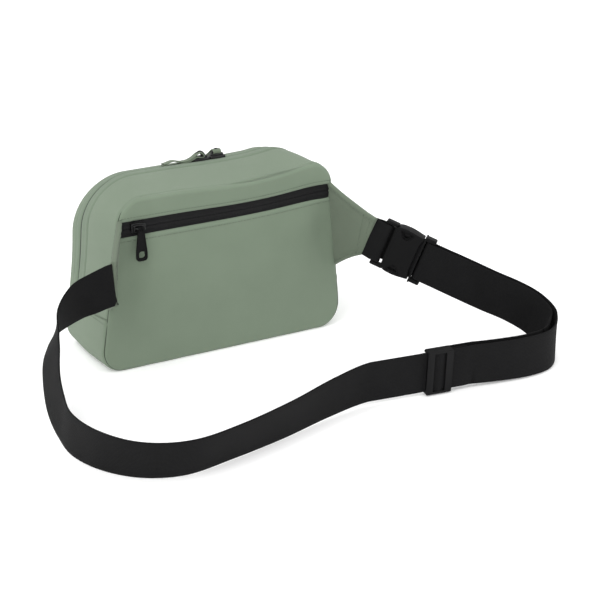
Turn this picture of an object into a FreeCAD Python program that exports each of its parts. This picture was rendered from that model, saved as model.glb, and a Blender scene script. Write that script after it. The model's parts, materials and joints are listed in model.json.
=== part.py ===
"""Belt bag with a webbing waist belt, a side-release buckle and three zips' sliders.

Axes, in millimetres: +X to the right of someone who looks at the back panel, +Y from the back
panel to the front panel, +Z up. The origin is the centre of the base that the bag stands on.
"""
import FreeCAD, Part

import math
import os

import Sketcher
from FreeCAD import Placement, Rotation, Vector

SIZES = {
    # the bag's shell
    "bag_width": 238.0,
    "rear_top_width": 212.0,
    "crown_top_width": 222.0,
    "front_top_width": 230.0,
    "rear_height": 157.0,
    "crown_height": 158.0,
    "front_height": 153.0,
    "bag_depth": 84.0,
    "base_corner": 20.0,
    "rear_corner": 22.0,
    "crown_corner": 44.0,
    "front_corner": 52.0,
    "crown_place": 14.0,
    "cloth": 1.2,
    "panel": 3.0,
    "join_height": 50.0,
    # the main zip, which runs over the top between the two side joins
    "zip_place": 23.0,
    "tape_width": 14.0,
    "chain_gap": 2.0,
    "rail_width": 2.4,
    "rail_depth": 1.8,
    "stop_length": 4.0,
    # the pocket zip across the back panel
    "pocket_zip_height": 131.0,
    "pocket_zip_band": 14.0,
    "pocket_bottom": 30.0,
    "pocket_depth": 8.0,
    "pocket_half_width": 96.0,
    # sliders and pulls
    "slider_length": 14.0,
    "slider_width": 9.0,
    "slider_plate": 1.6,
    "slider_clearance": 0.3,
    "bail_height": 6.4,
    "bail_rod": 1.3,
    "post_thickness": 0.6,
    "left_slider_place": 11.5,
    "right_slider_place": 28.0,
    "pocket_slider_place": -82.0,
    "bail_reach": 5.2,
    "bail_gap": 0.7,
    "pull_clearance": 0.35,
    "loop_pull_length": 38.0,
    "loop_pull_width": 6.4,
    "loop_pull_thickness": 1.2,
    "flat_pull_length": 29.0,
    "flat_pull_width": 10.0,
    "flat_pull_thickness": 2.0,
    # wings
    "wing_low": 58.0,
    "wing_high": 140.0,
    "wing_thickness": 3.6,
    "wing_margin": 1.2,
    # belt webbing
    "webbing_width": 38.0,
    "webbing": 1.5,
    # buckle
    "bar_radius": 2.0,
    "fold_clearance": 0.3,
    "buckle_width": 46.0,
    "buckle_thickness": 11.0,
    "female_bar_place": 12.5,
    "female_start": 18.5,
    "female_end": 46.0,
    "window_place": 30.0,
    "window_radius": 6.0,
    "cavity_width": 39.0,
    "cavity_thickness": 6.6,
    "cavity_start": 21.0,
    "male_bar_place": 52.3,
    "male_end": 57.0,
    "fit_clearance": 0.35,
    "flange": 1.5,
    "beam_start": 40.0,
    "prong_tip": 24.0,
    "prong_width": 4.2,
    "prong_gap": 0.4,
    "prong_pin_radius": 1.5,
    "tongue_width": 6.0,
    "rail": 3.4,
    # tri-glide
    "glide_length": 24.0,
    "glide_height": 43.6,
    "glide_rail": 2.4,
    "glide_bar": 6.4,
    "glide_bar_thickness": 2.4,
    "glide_clearance": 0.4,
    "centre_bar": 2.2,
    "tail_length": 30.0,
}

# Where the belt lies, chosen by hand: x, y, z and the lean of its top edge away from the waist.
LEFT_TIP = Vector(-124, -84, 100)
LEFT_HEADING = Vector(-1, 0.12, -0.08)
RIGHT_TIP = Vector(126, -86, 99)
BUCKLE_TURN = -44.0
BUCKLE_SLOPE = 21.0
GLIDE_LEAN = 5.0
GLIDE_CENTRE_XY = (113.0, -219.5)
GLIDE_TURN = -7.4
LONG_ROUTE = [
    (-124, -84, 100, 0),
    (-139, -82, 95.5, -7),
    (-156, -79, 88, -15),
    (-173, -82, 76, -26),
    (-184, -91, 62, -29),
    (-192, -105, 48, -24),
    (-199, -125, 34, -16),
    (-203, -149, 24, -8),
    (-205, -178, 19.8, 0),
    (-196, -214, 19.3, 9),
    (-174, -243, 18.8, 17),
    (-140, -256, 18.5, 20),
    (-95, -249, 18.5, 20),
    (-42, -235, 18.9, 15),
    (8, -219, 20.4, 9),
]
TURN_ROUTE = [
    (172, -228, 21.0, 3),
    (200, -230, 20.0, 1),
    (225, -226, 19.6, 0),
    (241, -214, 21.0, 0),
    (246, -199, 27.0, 0),
    (240, -184, 37.0, 0),
    (226, -170, 47.0, 0),
    (207, -154, 56.5, 0),
]
ROUTE_STEPS = 3

document = FreeCAD.newDocument("belt_bag")
sheet = document.addObject("Spreadsheet::Sheet", "sizes")
for row, (alias, number) in enumerate(SIZES.items(), start=1):
    sheet.set("A%d" % row, alias)
    sheet.set("B%d" % row, str(number))
    sheet.setAlias("B%d" % row, alias)
document.recompute()

nodes = []


class Length:
    """A number and the sheet formula it comes from, worked out together."""

    def __init__(self, value, formula):
        self.value = float(value)
        self.formula = formula

    def join(self, other, sign, value):
        return Length(value, "(%s %s %s)" % (self.formula, sign, other.formula))

    def __add__(self, other):
        other = length(other)
        return self.join(other, "+", self.value + other.value)

    def __sub__(self, other):
        other = length(other)
        return self.join(other, "-", self.value - other.value)

    def __mul__(self, other):
        other = length(other)
        return self.join(other, "*", self.value * other.value)

    def __truediv__(self, other):
        other = length(other)
        return self.join(other, "/", self.value / other.value)

    def __neg__(self):
        return Length(-self.value, "(-1 * %s)" % self.formula)


def length(item):
    return item if isinstance(item, Length) else Length(item, repr(float(item)))


def size(alias):
    return Length(sheet.get(alias), "sizes." + alias)


def node(piece, name):
    piece.Label = name
    nodes.append(piece)
    return piece


# ---------------------------------------------------------------- Part features

def box(name, low, high, frame=None):
    """A box between two corners whose sizes are bound to the sheet."""
    low = [length(value) for value in low]
    high = [length(value) for value in high]
    piece = document.addObject("Part::Box", name)
    for prop, start, end in zip(("Length", "Width", "Height"), low, high):
        piece.setExpression(prop, (end - start).formula)
    corner = Placement(Vector(*[value.value for value in low]), Rotation())
    if frame is None:
        piece.Placement = corner
        for axis, start in zip("xyz", low):
            piece.setExpression("Placement.Base." + axis, start.formula)
    else:
        piece.Placement = frame.multiply(corner)
    return piece


def cylinder(name, centre, direction, radius, span, frame=None):
    """A cylinder centred on a point, along a direction, with radius and span bound."""
    piece = document.addObject("Part::Cylinder", name)
    piece.setExpression("Radius", length(radius).formula)
    piece.setExpression("Height", length(span).formula)
    turn = Rotation(Vector(0, 0, 1), direction)
    start = centre - turn.multVec(Vector(0, 0, length(span).value / 2))
    local = Placement(start, turn)
    piece.Placement = local if frame is None else frame.multiply(local)
    return piece


def cut(name, base, tool):
    piece = document.addObject("Part::Cut", name)
    piece.Base = base
    piece.Tool = tool
    return piece


def common(name, first, second):
    piece = document.addObject("Part::MultiCommon", name)
    piece.Shapes = [first, second]
    return piece


def fuse(name, *shapes):
    piece = document.addObject("Part::MultiFuse", name)
    piece.Shapes = list(shapes)
    return piece


def feature(name, shape):
    """A piece whose form only Part's own functions give, such as a twisted ribbon."""
    piece = document.addObject("Part::Feature", name)
    piece.Shape = shape
    return piece


# ---------------------------------------------------------------- PartDesign helpers

def new_body(name, frame=None):
    body = document.addObject("PartDesign::Body", name)
    if frame is not None:
        body.Placement = frame
    return body


def plane_of(body, role):
    for item in body.Origin.OriginFeatures:
        if item.Role == role:
            return item
    raise ValueError("no plane " + role)


def new_sketch(body, name, offset=0.0):
    sketch = body.newObject("Sketcher::SketchObject", name)
    sketch.AttachmentSupport = [(plane_of(body, "XY_Plane"), "")]
    sketch.MapMode = "FlatFace"
    sketch.AttachmentOffset = Placement(Vector(0, 0, length(offset).value), Rotation())
    if isinstance(offset, Length):
        sketch.setExpression("AttachmentOffset.Base.z", offset.formula)
    return sketch


def bind(sketch, index, item):
    sketch.setExpression("Constraints[%d]" % index, length(item).formula)


def place_point(sketch, geometry, vertex, x, y):
    """Fix one vertex at two bound distances from the sketch's origin."""
    for kind, item in (("DistanceX", length(x)), ("DistanceY", length(y))):
        constraint = Sketcher.Constraint(kind, -1, 1, geometry, vertex, item.value)
        bind(sketch, sketch.addConstraint(constraint), item)


def draw_polygon(sketch, points):
    """A closed outline through bound points."""
    points = [(length(x), length(y)) for x, y in points]
    first = sketch.GeometryCount
    count = len(points)
    for i in range(count):
        start, end = points[i], points[(i + 1) % count]
        line = Part.LineSegment(Vector(start[0].value, start[1].value, 0),
                                Vector(end[0].value, end[1].value, 0))
        sketch.addGeometry(line)
    for i in range(count):
        following = first + (i + 1) % count
        sketch.addConstraint(Sketcher.Constraint("Coincident", first + i, 2, following, 1))
        place_point(sketch, first + i, 1, *points[i])


def draw_rectangle(sketch, x_low, x_high, y_low, y_high):
    draw_polygon(sketch, [(x_low, y_low), (x_high, y_low), (x_high, y_high), (x_low, y_high)])


def draw_circle(sketch, x, y, radius):
    x, y, radius = length(x), length(y), length(radius)
    circle = Part.Circle(Vector(x.value, y.value, 0), Vector(0, 0, 1), radius.value)
    index = sketch.addGeometry(circle)
    place_point(sketch, index, 3, x, y)
    bind(sketch, sketch.addConstraint(Sketcher.Constraint("Radius", index, radius.value)), radius)


def pad(body, sketch, name, thickness, midplane=False):
    piece = body.newObject("PartDesign::Pad", name)
    piece.Profile = sketch
    piece.setExpression("Length", length(thickness).formula)
    piece.Midplane = midplane
    return piece


def pocket(body, sketch, name, depth, midplane=False, reverse=False):
    document.recompute()
    before = body.Shape.Volume
    piece = body.newObject("PartDesign::Pocket", name)
    piece.Profile = sketch
    piece.setExpression("Length", length(depth).formula)
    piece.Midplane = midplane
    piece.Reversed = reverse
    document.recompute()
    if not body.Shape.Volume < before - 1e-6:
        raise ValueError(name + " cuts nothing")
    return piece


def round_edges(body, name, radius, chosen):
    """Fillet the body's edges that the test picks out, given in body coordinates."""
    document.recompute()
    base = body.Tip
    names = []
    for number, edge in enumerate(base.Shape.Edges, start=1):
        if chosen(edge):
            names.append("Edge%d" % number)
    piece = body.newObject("PartDesign::Fillet", name)
    piece.Base = (base, names)
    piece.setExpression("Radius", length(radius).formula)
    return piece


def is_along(edge, axis):
    """Whether an edge is straight and parallel to an axis."""
    if edge.Curve.TypeId != "Part::GeomLine":
        return False
    return abs(abs(edge.Curve.Direction.dot(axis)) - 1) < 1e-6


# ---------------------------------------------------------------- the bag's shell

def bag_outline(name, place, top_height, top_width, top_corner, inset):
    """The bag's outline seen from behind, in a plane of constant Y, drawn smaller by inset.

    Four corner arcs are joined by their common tangents, so the sides lean in towards the top.
    """
    low_radius = size("base_corner") - inset
    top_radius = top_corner - inset
    low_x = size("bag_width") / 2 - size("base_corner")
    low_y = size("base_corner")
    top_x = top_width / 2 - top_corner
    top_y = top_height - top_corner
    sketch = document.addObject("Sketcher::SketchObject", name)
    sketch.Placement = Placement(Vector(0, place.value, 0), Rotation(Vector(1, 0, 0), 90))
    sketch.setExpression("Placement.Base.y", place.formula)

    span = math.hypot(top_x.value - low_x.value, top_y.value - low_y.value)
    heading = math.atan2(top_y.value - low_y.value, top_x.value - low_x.value)
    swing = math.acos((low_radius.value - top_radius.value) / span)
    side = heading - swing

    def arc(x, y, radius, start, end):
        circle = Part.Circle(Vector(x, y, 0), Vector(0, 0, 1), radius)
        return sketch.addGeometry(Part.ArcOfCircle(circle, start, end))

    def line(start, end):
        return sketch.addGeometry(Part.LineSegment(Vector(*start, 0), Vector(*end, 0)))

    def rim(x, y, radius, angle):
        return (x + radius * math.cos(angle), y + radius * math.sin(angle))

    quarter = math.pi / 2
    mirrored = math.pi - side
    corners = [
        (low_x, low_y, low_radius, -quarter, side),
        (top_x, top_y, top_radius, side, quarter),
        (-top_x, top_y, top_radius, quarter, mirrored),
        (-low_x, low_y, low_radius, mirrored, 3 * quarter),
    ]
    arcs = []
    lines = []
    for i, (x, y, radius, start, end) in enumerate(corners):
        arcs.append(arc(x.value, y.value, radius.value, start, end))
        nx, ny, nr, nstart, _ = corners[(i + 1) % 4]
        lines.append(line(rim(x.value, y.value, radius.value, end),
                          rim(nx.value, ny.value, nr.value, nstart)))
    for i in range(4):
        sketch.addConstraint(Sketcher.Constraint("Tangent", arcs[i], 2, lines[i], 1))
        sketch.addConstraint(Sketcher.Constraint("Tangent", lines[i], 2, arcs[(i + 1) % 4], 1))
    for index, (x, y, radius, _, _) in zip(arcs, corners):
        place_point(sketch, index, 3, x, y)
        bind(sketch, sketch.addConstraint(Sketcher.Constraint("Radius", index, radius.value)),
             radius)
    return sketch


def envelope(name, inset):
    """The bag's outer form, drawn smaller all round by inset, lofted through three outlines."""
    half_depth = size("bag_depth") / 2
    loft = document.addObject("Part::Loft", name)
    loft.Sections = [
        bag_outline(name + "_rear", -half_depth, size("rear_height"), size("rear_top_width"),
                    size("rear_corner"), inset),
        bag_outline(name + "_crown", size("crown_place"), size("crown_height"),
                    size("crown_top_width"), size("crown_corner"), inset),
        bag_outline(name + "_front", half_depth, size("front_height"),
                    size("front_top_width"), size("front_corner"), inset),
    ]
    loft.Solid = True
    loft.Ruled = True
    return loft


def slab(name, y_low, y_high, z_low=-10.0, z_high=400.0):
    """A box wider than the bag between two depths and two heights."""
    half = size("bag_width")
    return box(name, (-half, y_low, z_low), (half, y_high, z_high))


def make_shell():
    half_depth = size("bag_depth") / 2
    rear_inside = -half_depth + size("panel")
    front_inside = half_depth - size("panel")
    cloth = length(size("cloth"))
    skin = envelope("skin", length(0.0))
    lining = envelope("lining", cloth)
    core = envelope("core", cloth + size("rail_depth"))
    wall = cut("wall", skin, lining)
    layer = cut("layer", lining, core)

    zip_low = size("pocket_zip_height") - size("pocket_zip_band") / 2
    zip_high = size("pocket_zip_height") + size("pocket_zip_band") / 2
    node(common("back_yoke", skin, slab("yoke_slab", -half_depth, rear_inside, zip_high)),
         "back_yoke")
    node(common("back_panel", skin, slab("back_slab", -half_depth, rear_inside, -10.0, zip_low)),
         "back_panel")
    node(common("front_panel", skin, slab("front_slab", front_inside, half_depth)),
         "front_panel")

    join = size("join_height")
    place = size("zip_place")
    gap = size("chain_gap") / 2
    rear_edge = place - size("tape_width")
    front_edge = place + size("tape_width") * 0.65
    pieces = [
        ("gusset_bottom", rear_inside, front_inside, -10.0, join),
        ("gusset_rear", rear_inside, rear_edge, join, 400.0),
        ("gusset_front", front_edge, front_inside, join, 400.0),
        ("main_tape_rear", rear_edge, place - gap, join, 400.0),
        ("main_tape_front", place + gap, front_edge, join, 400.0),
    ]
    for name, y_low, y_high, z_low, z_high in pieces:
        node(common(name, wall, slab(name + "_slab", y_low, y_high, z_low, z_high)), name)

    # the chain's two coils lie under the tapes' edges, a slot apart, and end at the side stops
    stop_top = join + size("stop_length")
    rail = size("rail_width")
    rails = []
    stops = []
    for name, y_low, y_high in (("rear", place - gap - rail, place - gap),
                                ("front", place + gap, place + gap + rail)):
        rails.append(common(name + "_coil", layer,
                            slab(name + "_coil_slab", y_low, y_high, stop_top, 400.0)))
    node(fuse("main_zip_coils", *rails), "main_zip_coils")
    for name, x_low, x_high in (("left", -size("bag_width"), length(0.0)),
                                ("right", length(0.0), size("bag_width"))):
        stops.append(common(name + "_stop", layer,
                            box(name + "_stop_slab", (x_low, place - gap - rail, join),
                                (x_high, place + gap + rail, stop_top))))
    node(fuse("main_zip_stops", *stops), "main_zip_stops")

    # the turned-in seam allowances inside are covered by binding tape
    binding = size("tape_width") / 2
    node(common("seam_binding_rear", layer,
                slab("binding_rear_slab", rear_inside, rear_inside + binding)),
         "seam_binding_rear")
    node(common("seam_binding_front", layer,
                slab("binding_front_slab", front_inside - binding, front_inside)),
         "seam_binding_front")
    return skin


def side_at(height):
    """Half the bag's width at a height, along the back panel's straight side seam."""
    share = height.value / size("rear_height").value
    low, top = size("bag_width").value / 2, size("rear_top_width").value / 2
    return low + (top - low) * share


# ---------------------------------------------------------------- the pocket in the back panel

def make_pocket(skin):
    """The zip across the back panel and the pocket bag that hangs behind it."""
    half_depth = size("bag_depth") / 2
    rear = -half_depth
    inside = rear + size("panel")
    middle = size("pocket_zip_height")
    half_band = size("pocket_zip_band") / 2
    gap = size("chain_gap") / 2
    cloth = size("cloth")
    rail = size("rail_width")
    tapes = [
        ("pocket_tape_upper", middle + gap, middle + half_band),
        ("pocket_tape_lower", middle - half_band, middle - gap),
    ]
    for name, z_low, z_high in tapes:
        node(common(name, skin, slab(name + "_slab", rear + 1.0, rear + cloth + 1.0,
                                     z_low, z_high)), name)
    reach = size("pocket_half_width") - size("stop_length") - 0.5
    coil_low = rear + cloth + 1.0
    coils = []
    for name, z_low, z_high in (("upper", middle + gap, middle + gap + rail),
                                ("lower", middle - gap - rail, middle - gap)):
        coils.append(box(name + "_pocket_coil", (-reach, coil_low, z_low),
                         (reach, coil_low + size("rail_depth"), z_high)))
    node(fuse("pocket_zip_coils", *coils), "pocket_zip_coils")
    stops = []
    for name, sign in (("left", -1.0), ("right", 1.0)):
        ends = [reach * sign, (reach + size("stop_length")) * sign]
        ends.sort(key=lambda end: end.value)
        stops.append(box(name + "_pocket_stop", (ends[0], coil_low, middle - gap - rail),
                         (ends[1], coil_low + size("rail_depth"), middle + gap + rail)))
    node(fuse("pocket_zip_stops", *stops), "pocket_zip_stops")

    half = size("pocket_half_width")
    low = size("pocket_bottom")
    high = middle + half_band + 4.0
    outer = box("pocket_outer", (-half - cloth, inside, low - cloth),
                (half + cloth, inside + size("pocket_depth") + cloth, high + cloth))
    inner = box("pocket_inner", (-half, inside - 1.0, low),
                (half, inside + size("pocket_depth"), high))
    node(cut("pocket_bag", outer, inner), "pocket_bag")


# ---------------------------------------------------------------- sliders and pulls

def slider_frame(origin, along, out):
    """Local X along the zip, local Z out of the cloth."""
    up = out.cross(along)
    return Placement(origin, Rotation(along, up, out, "ZXY"))


def make_slider(name, frame, skin_depth):
    """A zip slider: a wing plate over the tapes, one under the coils, a post and a bail.

    Local Z is 0 on the tapes' outer face; skin_depth is how far below it the coils end.
    """
    clear = size("slider_clearance")
    plate = size("slider_plate")
    half_length = size("slider_length") / 2
    half_width = size("slider_width") / 2
    nose = half_length * 0.55
    body = new_body(name, frame)
    sketch = new_sketch(body, name + "_plan", clear)
    draw_polygon(sketch, [
        (-half_length, -half_width * 0.72), (-nose, -half_width * 0.82),
        (nose * 0.2, -half_width), (half_length, -half_width * 0.86),
        (half_length, half_width * 0.86), (nose * 0.2, half_width),
        (-nose, half_width * 0.82), (-half_length, half_width * 0.72)])
    pad(body, sketch, name + "_plate", plate)

    drop = skin_depth + clear * 2
    post = new_sketch(body, name + "_post_plan", -(skin_depth + clear))
    half_post = size("post_thickness") / 2
    draw_rectangle(post, nose * 0.1, nose * 0.9, -half_post, half_post)
    pad(body, post, name + "_post", drop)
    under = new_sketch(body, name + "_under_plan", -(skin_depth + clear + plate))
    draw_rectangle(under, -half_length * 0.9, half_length * 0.9, -half_width * 0.8,
                   half_width * 0.8)
    pad(body, under, name + "_under", plate)

    # the bail is an arch along the zip that the pull hangs from
    rod = size("bail_rod")
    reach = size("bail_reach")
    half_rod = rod / 2
    for end, x_low, x_high in (("tail", -reach, rod - reach), ("nose", reach - rod, reach)):
        foot = new_sketch(body, name + "_" + end + "_plan", clear + plate)
        draw_rectangle(foot, x_low, x_high, -half_rod, half_rod)
        pad(body, foot, name + "_" + end, size("bail_height"))
    bridge = new_sketch(body, name + "_bridge_plan", clear + plate + size("bail_height") - rod)
    draw_rectangle(bridge, -reach, reach, -half_rod, half_rod)
    pad(body, bridge, name + "_bridge", rod)
    return node(body, name)


def add_eye(body, name, start, reach):
    """The open eye at a tape pull's end, seen from the side: the tape parts and meets again."""
    thick = size("loop_pull_thickness")
    across = size("loop_pull_width")
    parted = thick + 1.2
    third = (reach - start) / 3
    side = new_sketch(body, name + "_side")
    draw_polygon(side, [(start, -thick), (start + third, -parted), (reach - third, -parted),
                        (reach, -thick * 0.6), (reach, thick * 0.6),
                        (reach - third, parted), (start + third, parted), (start, thick)])
    pad(body, side, name + "_tape", across, midplane=True)
    hole = new_sketch(body, name + "_eye_hole")
    draw_polygon(hole, [(start + thick * 3, 0.0), (start + third, thick - parted),
                        (reach - third, thick - parted), (reach - thick, 0.0),
                        (reach - third, parted - thick), (start + third, parted - thick)])
    pocket(body, hole, name + "_eye", across + 1.0, midplane=True)


def ring_inside():
    """Half the opening of a ring that turns round the bail's square bridge."""
    return size("bail_rod") * 0.71 + size("pull_clearance")


def add_ring(body, name, neck, thick):
    """A ring round the bridge, with the bridge's middle at the origin, and a neck."""
    inside = ring_inside()
    outside = inside + thick
    half_neck = thick * 0.6
    # the ring turns between the bail's two feet
    across = (size("bail_reach") - size("bail_rod") - size("bail_gap")) * 2
    ring = new_sketch(body, name + "_ring_side")
    draw_polygon(ring, [(-outside, -outside), (outside, -outside), (outside, -half_neck),
                        (neck, -half_neck), (neck, half_neck), (outside, half_neck),
                        (outside, outside), (-outside, outside)])
    pad(body, ring, name + "_ring", across, midplane=True)
    hole = new_sketch(body, name + "_ring_hole")
    draw_rectangle(hole, -inside, inside, -inside, inside)
    pocket(body, hole, name + "_ring_opening", across + 1.0, midplane=True)


def side_on(frame):
    """The same frame with its sketch plane stood up along the pull."""
    return frame.multiply(Placement(Vector(0, 0, 0), Rotation(Vector(1, 0, 0), 90)))


def make_side_loop_pull(name, frame):
    """A folded tape pull that rings the bridge and lies across the zip.

    Local X runs along the pull, local Z out of the cloth, from the bridge's middle.
    """
    thick = size("loop_pull_thickness")
    neck = ring_inside() + thick + 3.0
    body = new_body(name, side_on(frame))
    add_ring(body, name, neck + 1.0, thick)
    add_eye(body, name, neck, size("loop_pull_length"))
    return node(body, name)


def make_end_loop_pull(name, frame):
    """A folded tape pull on a stirrup, so that it lies along the zip.

    The stirrup's crossbar passes under the bridge at the origin and its two legs run
    outside the bail, which stands in the window between them.
    """
    thick = size("loop_pull_thickness")
    window_end = stirrup_reach()
    window_half = size("bail_rod") / 2 + size("pull_clearance")
    plan_half = size("loop_pull_width") / 2
    body = new_body(name, side_on(frame))
    bar = thick / 2
    plate = new_sketch(body, name + "_plate_side")
    draw_rectangle(plate, -bar, window_end + thick * 2, -bar, bar)
    pad(body, plate, name + "_plate", plan_half * 2, midplane=True)
    window = new_sketch(body, name + "_window_side")
    draw_rectangle(window, bar, window_end, -thick, thick)
    pocket(body, window, name + "_window", window_half * 2, midplane=True)
    add_eye(body, name, window_end + thick, size("loop_pull_length"))
    return node(body, name)


def stirrup_reach():
    """How far a stirrup's window runs from its crossbar, to turn clear of the bail."""
    rise = size("loop_pull_thickness") / 2 + size("pull_clearance") + size("bail_rod")
    corner = math.hypot(size("bail_reach").value, rise.value)
    return Length(corner, "sqrt(%s ^ 2 + %s ^ 2)" % (size("bail_reach").formula,
                                                    rise.formula)) + size("pull_clearance")


def make_flat_pull(name, frame):
    """A moulded pull: a ring, a narrow neck and a tab that widens to a window near its end.

    Local X runs down the pull, local Z out of the cloth, from the bridge's middle.
    """
    thick = size("flat_pull_thickness")
    half_width = size("flat_pull_width") / 2
    half_neck = size("loop_pull_width") / 2
    reach = size("flat_pull_length")
    neck = ring_inside() + thick * 0.6
    body = new_body(name, side_on(frame))
    add_ring(body, name, neck + 1.0, thick * 0.6)
    side = new_sketch(body, name + "_side")
    draw_rectangle(side, neck, reach, -thick / 2, thick / 2)
    pad(body, side, name + "_tab", half_width * 2, midplane=True)
    # the tab is narrow at its neck, and its lower corners are cut off
    for side_name, sign in (("low", -1.0), ("high", 1.0)):
        edge = half_width * sign
        beyond = (half_width + 1.0) * sign
        trim = body.newObject("Sketcher::SketchObject", name + "_trim_" + side_name)
        trim.AttachmentSupport = [(plane_of(body, "XZ_Plane"), "")]
        trim.MapMode = "FlatFace"
        draw_polygon(trim, [(neck - 0.5, beyond), (neck - 0.5, half_neck * 0.8 * sign),
                            (reach * 0.45, half_neck * 0.9 * sign), (reach * 0.75, edge),
                            (reach * 0.75, beyond)])
        pocket(body, trim, name + "_taper_" + side_name, thick * 6, midplane=True)
    window = body.newObject("Sketcher::SketchObject", name + "_window_plan")
    window.AttachmentSupport = [(plane_of(body, "XZ_Plane"), "")]
    window.MapMode = "FlatFace"
    draw_rectangle(window, reach * 0.68, reach * 0.88, -half_width * 0.5, half_width * 0.5)
    pocket(body, window, name + "_window", thick + 2.0, midplane=True)
    return node(body, name)


def make_zip_hardware():
    """Sliders and pulls of the main zip and the pocket zip."""
    depth = size("cloth") + size("rail_depth")
    top = top_height_at(size("zip_place").value)
    bail_foot = size("slider_clearance") + size("slider_plate")
    bridge = (bail_foot + size("bail_height") - size("bail_rod") / 2).value
    crossbar = (bail_foot + size("bail_height") - size("bail_rod") - size("pull_clearance")
                - size("loop_pull_thickness") / 2).value
    east = Vector(1, 0, 0)
    slope = top_slope()
    out = Vector(0, -math.sin(slope), math.cos(slope))
    forward = Vector(0, math.cos(slope), math.sin(slope))
    left = Vector(size("left_slider_place").value, size("zip_place").value, top)
    right = Vector(size("right_slider_place").value, size("zip_place").value, top)
    make_slider("main_slider_left", slider_frame(left, east, out), depth)
    make_slider("main_slider_right", slider_frame(right, -east, out), depth)
    make_end_loop_pull("loop_pull_left", slider_frame(left + out * crossbar, -east, out))
    make_side_loop_pull("loop_pull_right", slider_frame(right + out * bridge, forward, out))

    rear = Vector(0, -1, 0)
    down = Vector(0, 0, -1)
    spot = Vector(size("pocket_slider_place").value, 1.0 - size("bag_depth").value / 2,
                  size("pocket_zip_height").value)
    make_slider("pocket_slider", slider_frame(spot, -east, rear), depth)
    make_flat_pull("pocket_pull", slider_frame(spot + rear * bridge, down, rear))


def top_slope():
    """Angle at which the bag's top rises from its crown towards the front, below zero."""
    rise = size("front_height").value - size("crown_height").value
    return math.atan2(rise, size("bag_depth").value / 2 - size("crown_place").value)


def top_height_at(place):
    """Height of the bag's straight top ridge at a depth in front of the crown."""
    return size("crown_height").value + (place - size("crown_place").value) * math.tan(
        top_slope())


# ---------------------------------------------------------------- wings and webbing

def quad(corners):
    return Part.makePolygon(list(corners) + [corners[0]])


def make_wing(name, sign, tip, slope):
    """A tapered cloth wing from the back panel's side seam to the webbing's end."""
    rear = -size("bag_depth").value / 2
    thick = size("wing_thickness").value
    half_tip = size("webbing_width").value / 2 + size("wing_margin").value
    base = []
    for height, inward in (("wing_low", 0), ("wing_high", 0), ("wing_high", 1), ("wing_low", 1)):
        base.append(Vector(sign * (side_at(size(height)) - inward * thick), rear,
                           size(height).value))
    outward = Vector(tip.x - base[0].x, tip.y - rear, 0)
    outward.normalize()
    across = Vector(-outward.y, outward.x, 0) * sign
    lift = Vector(0, 0, math.cos(slope)) + outward * math.sin(slope)
    corners = []
    for up, side in ((-1, 1), (1, 1), (1, -1), (-1, -1)):
        corners.append(tip + lift * (up * half_tip) + across * (side * thick / 2))
    shape = Part.makeLoft([quad(base), quad(corners)], True, True)
    return node(feature(name, shape), name)


def smooth_route(points, start_heading=None, end_heading=None):
    """A Catmull-Rom curve through x, y, z and lean, with given headings at its ends."""
    points = [tuple(float(number) for number in point) for point in points]

    def beyond(end, neighbour, heading):
        if heading is None:
            return tuple(2 * a - b for a, b in zip(end, neighbour))
        gap = math.dist(end[:3], neighbour[:3])
        return tuple(end[i] + heading[i] * gap for i in range(3)) + (end[3],)

    before = beyond(points[0], points[1], start_heading and tuple(-start_heading))
    after = beyond(points[-1], points[-2], end_heading and tuple(end_heading))
    row = [before] + points + [after]
    curve = []
    for i in range(1, len(row) - 2):
        p0, p1, p2, p3 = row[i - 1:i + 3]
        for step in range(ROUTE_STEPS):
            t = step / ROUTE_STEPS
            curve.append(tuple(
                0.5 * (2 * b + (c - a) * t + (2 * a - 5 * b + 4 * c - d) * t ** 2
                       + (3 * b - a - 3 * c + d) * t ** 3)
                for a, b, c, d in zip(p0, p1, p2, p3)))
    curve.append(points[-1])
    return curve


def webbing_axes(heading, lean):
    """The width direction and the outward face normal of webbing that runs along heading."""
    outward = heading.cross(Vector(0, 0, 1))
    outward.normalize()
    upright = outward.cross(heading)
    angle = math.radians(lean)
    width = upright * math.cos(angle) + outward * math.sin(angle)
    return width, heading.cross(width)


def ribbon(curve, offset=0.0, start_heading=None, end_heading=None):
    """Webbing swept along a curve, moved out of its face by offset."""
    half_width = size("webbing_width").value / 2
    half_thick = size("webbing").value / 2
    sections = []
    for i, station in enumerate(curve):
        before = Vector(*curve[max(i - 1, 0)][:3])
        after = Vector(*curve[min(i + 1, len(curve) - 1)][:3])
        heading = after - before
        if i == 0 and start_heading:
            heading = Vector(start_heading)
        if i == len(curve) - 1 and end_heading:
            heading = Vector(end_heading)
        heading.normalize()
        width, face = webbing_axes(heading, station[3])
        centre = Vector(*station[:3]) + face * offset
        corners = []
        for up, side in ((-1, 1), (1, 1), (1, -1), (-1, -1)):
            corners.append(centre + width * (up * half_width) + face * (side * half_thick))
        sections.append(quad(corners))
    return Part.makeLoft(sections, True, True)


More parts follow.
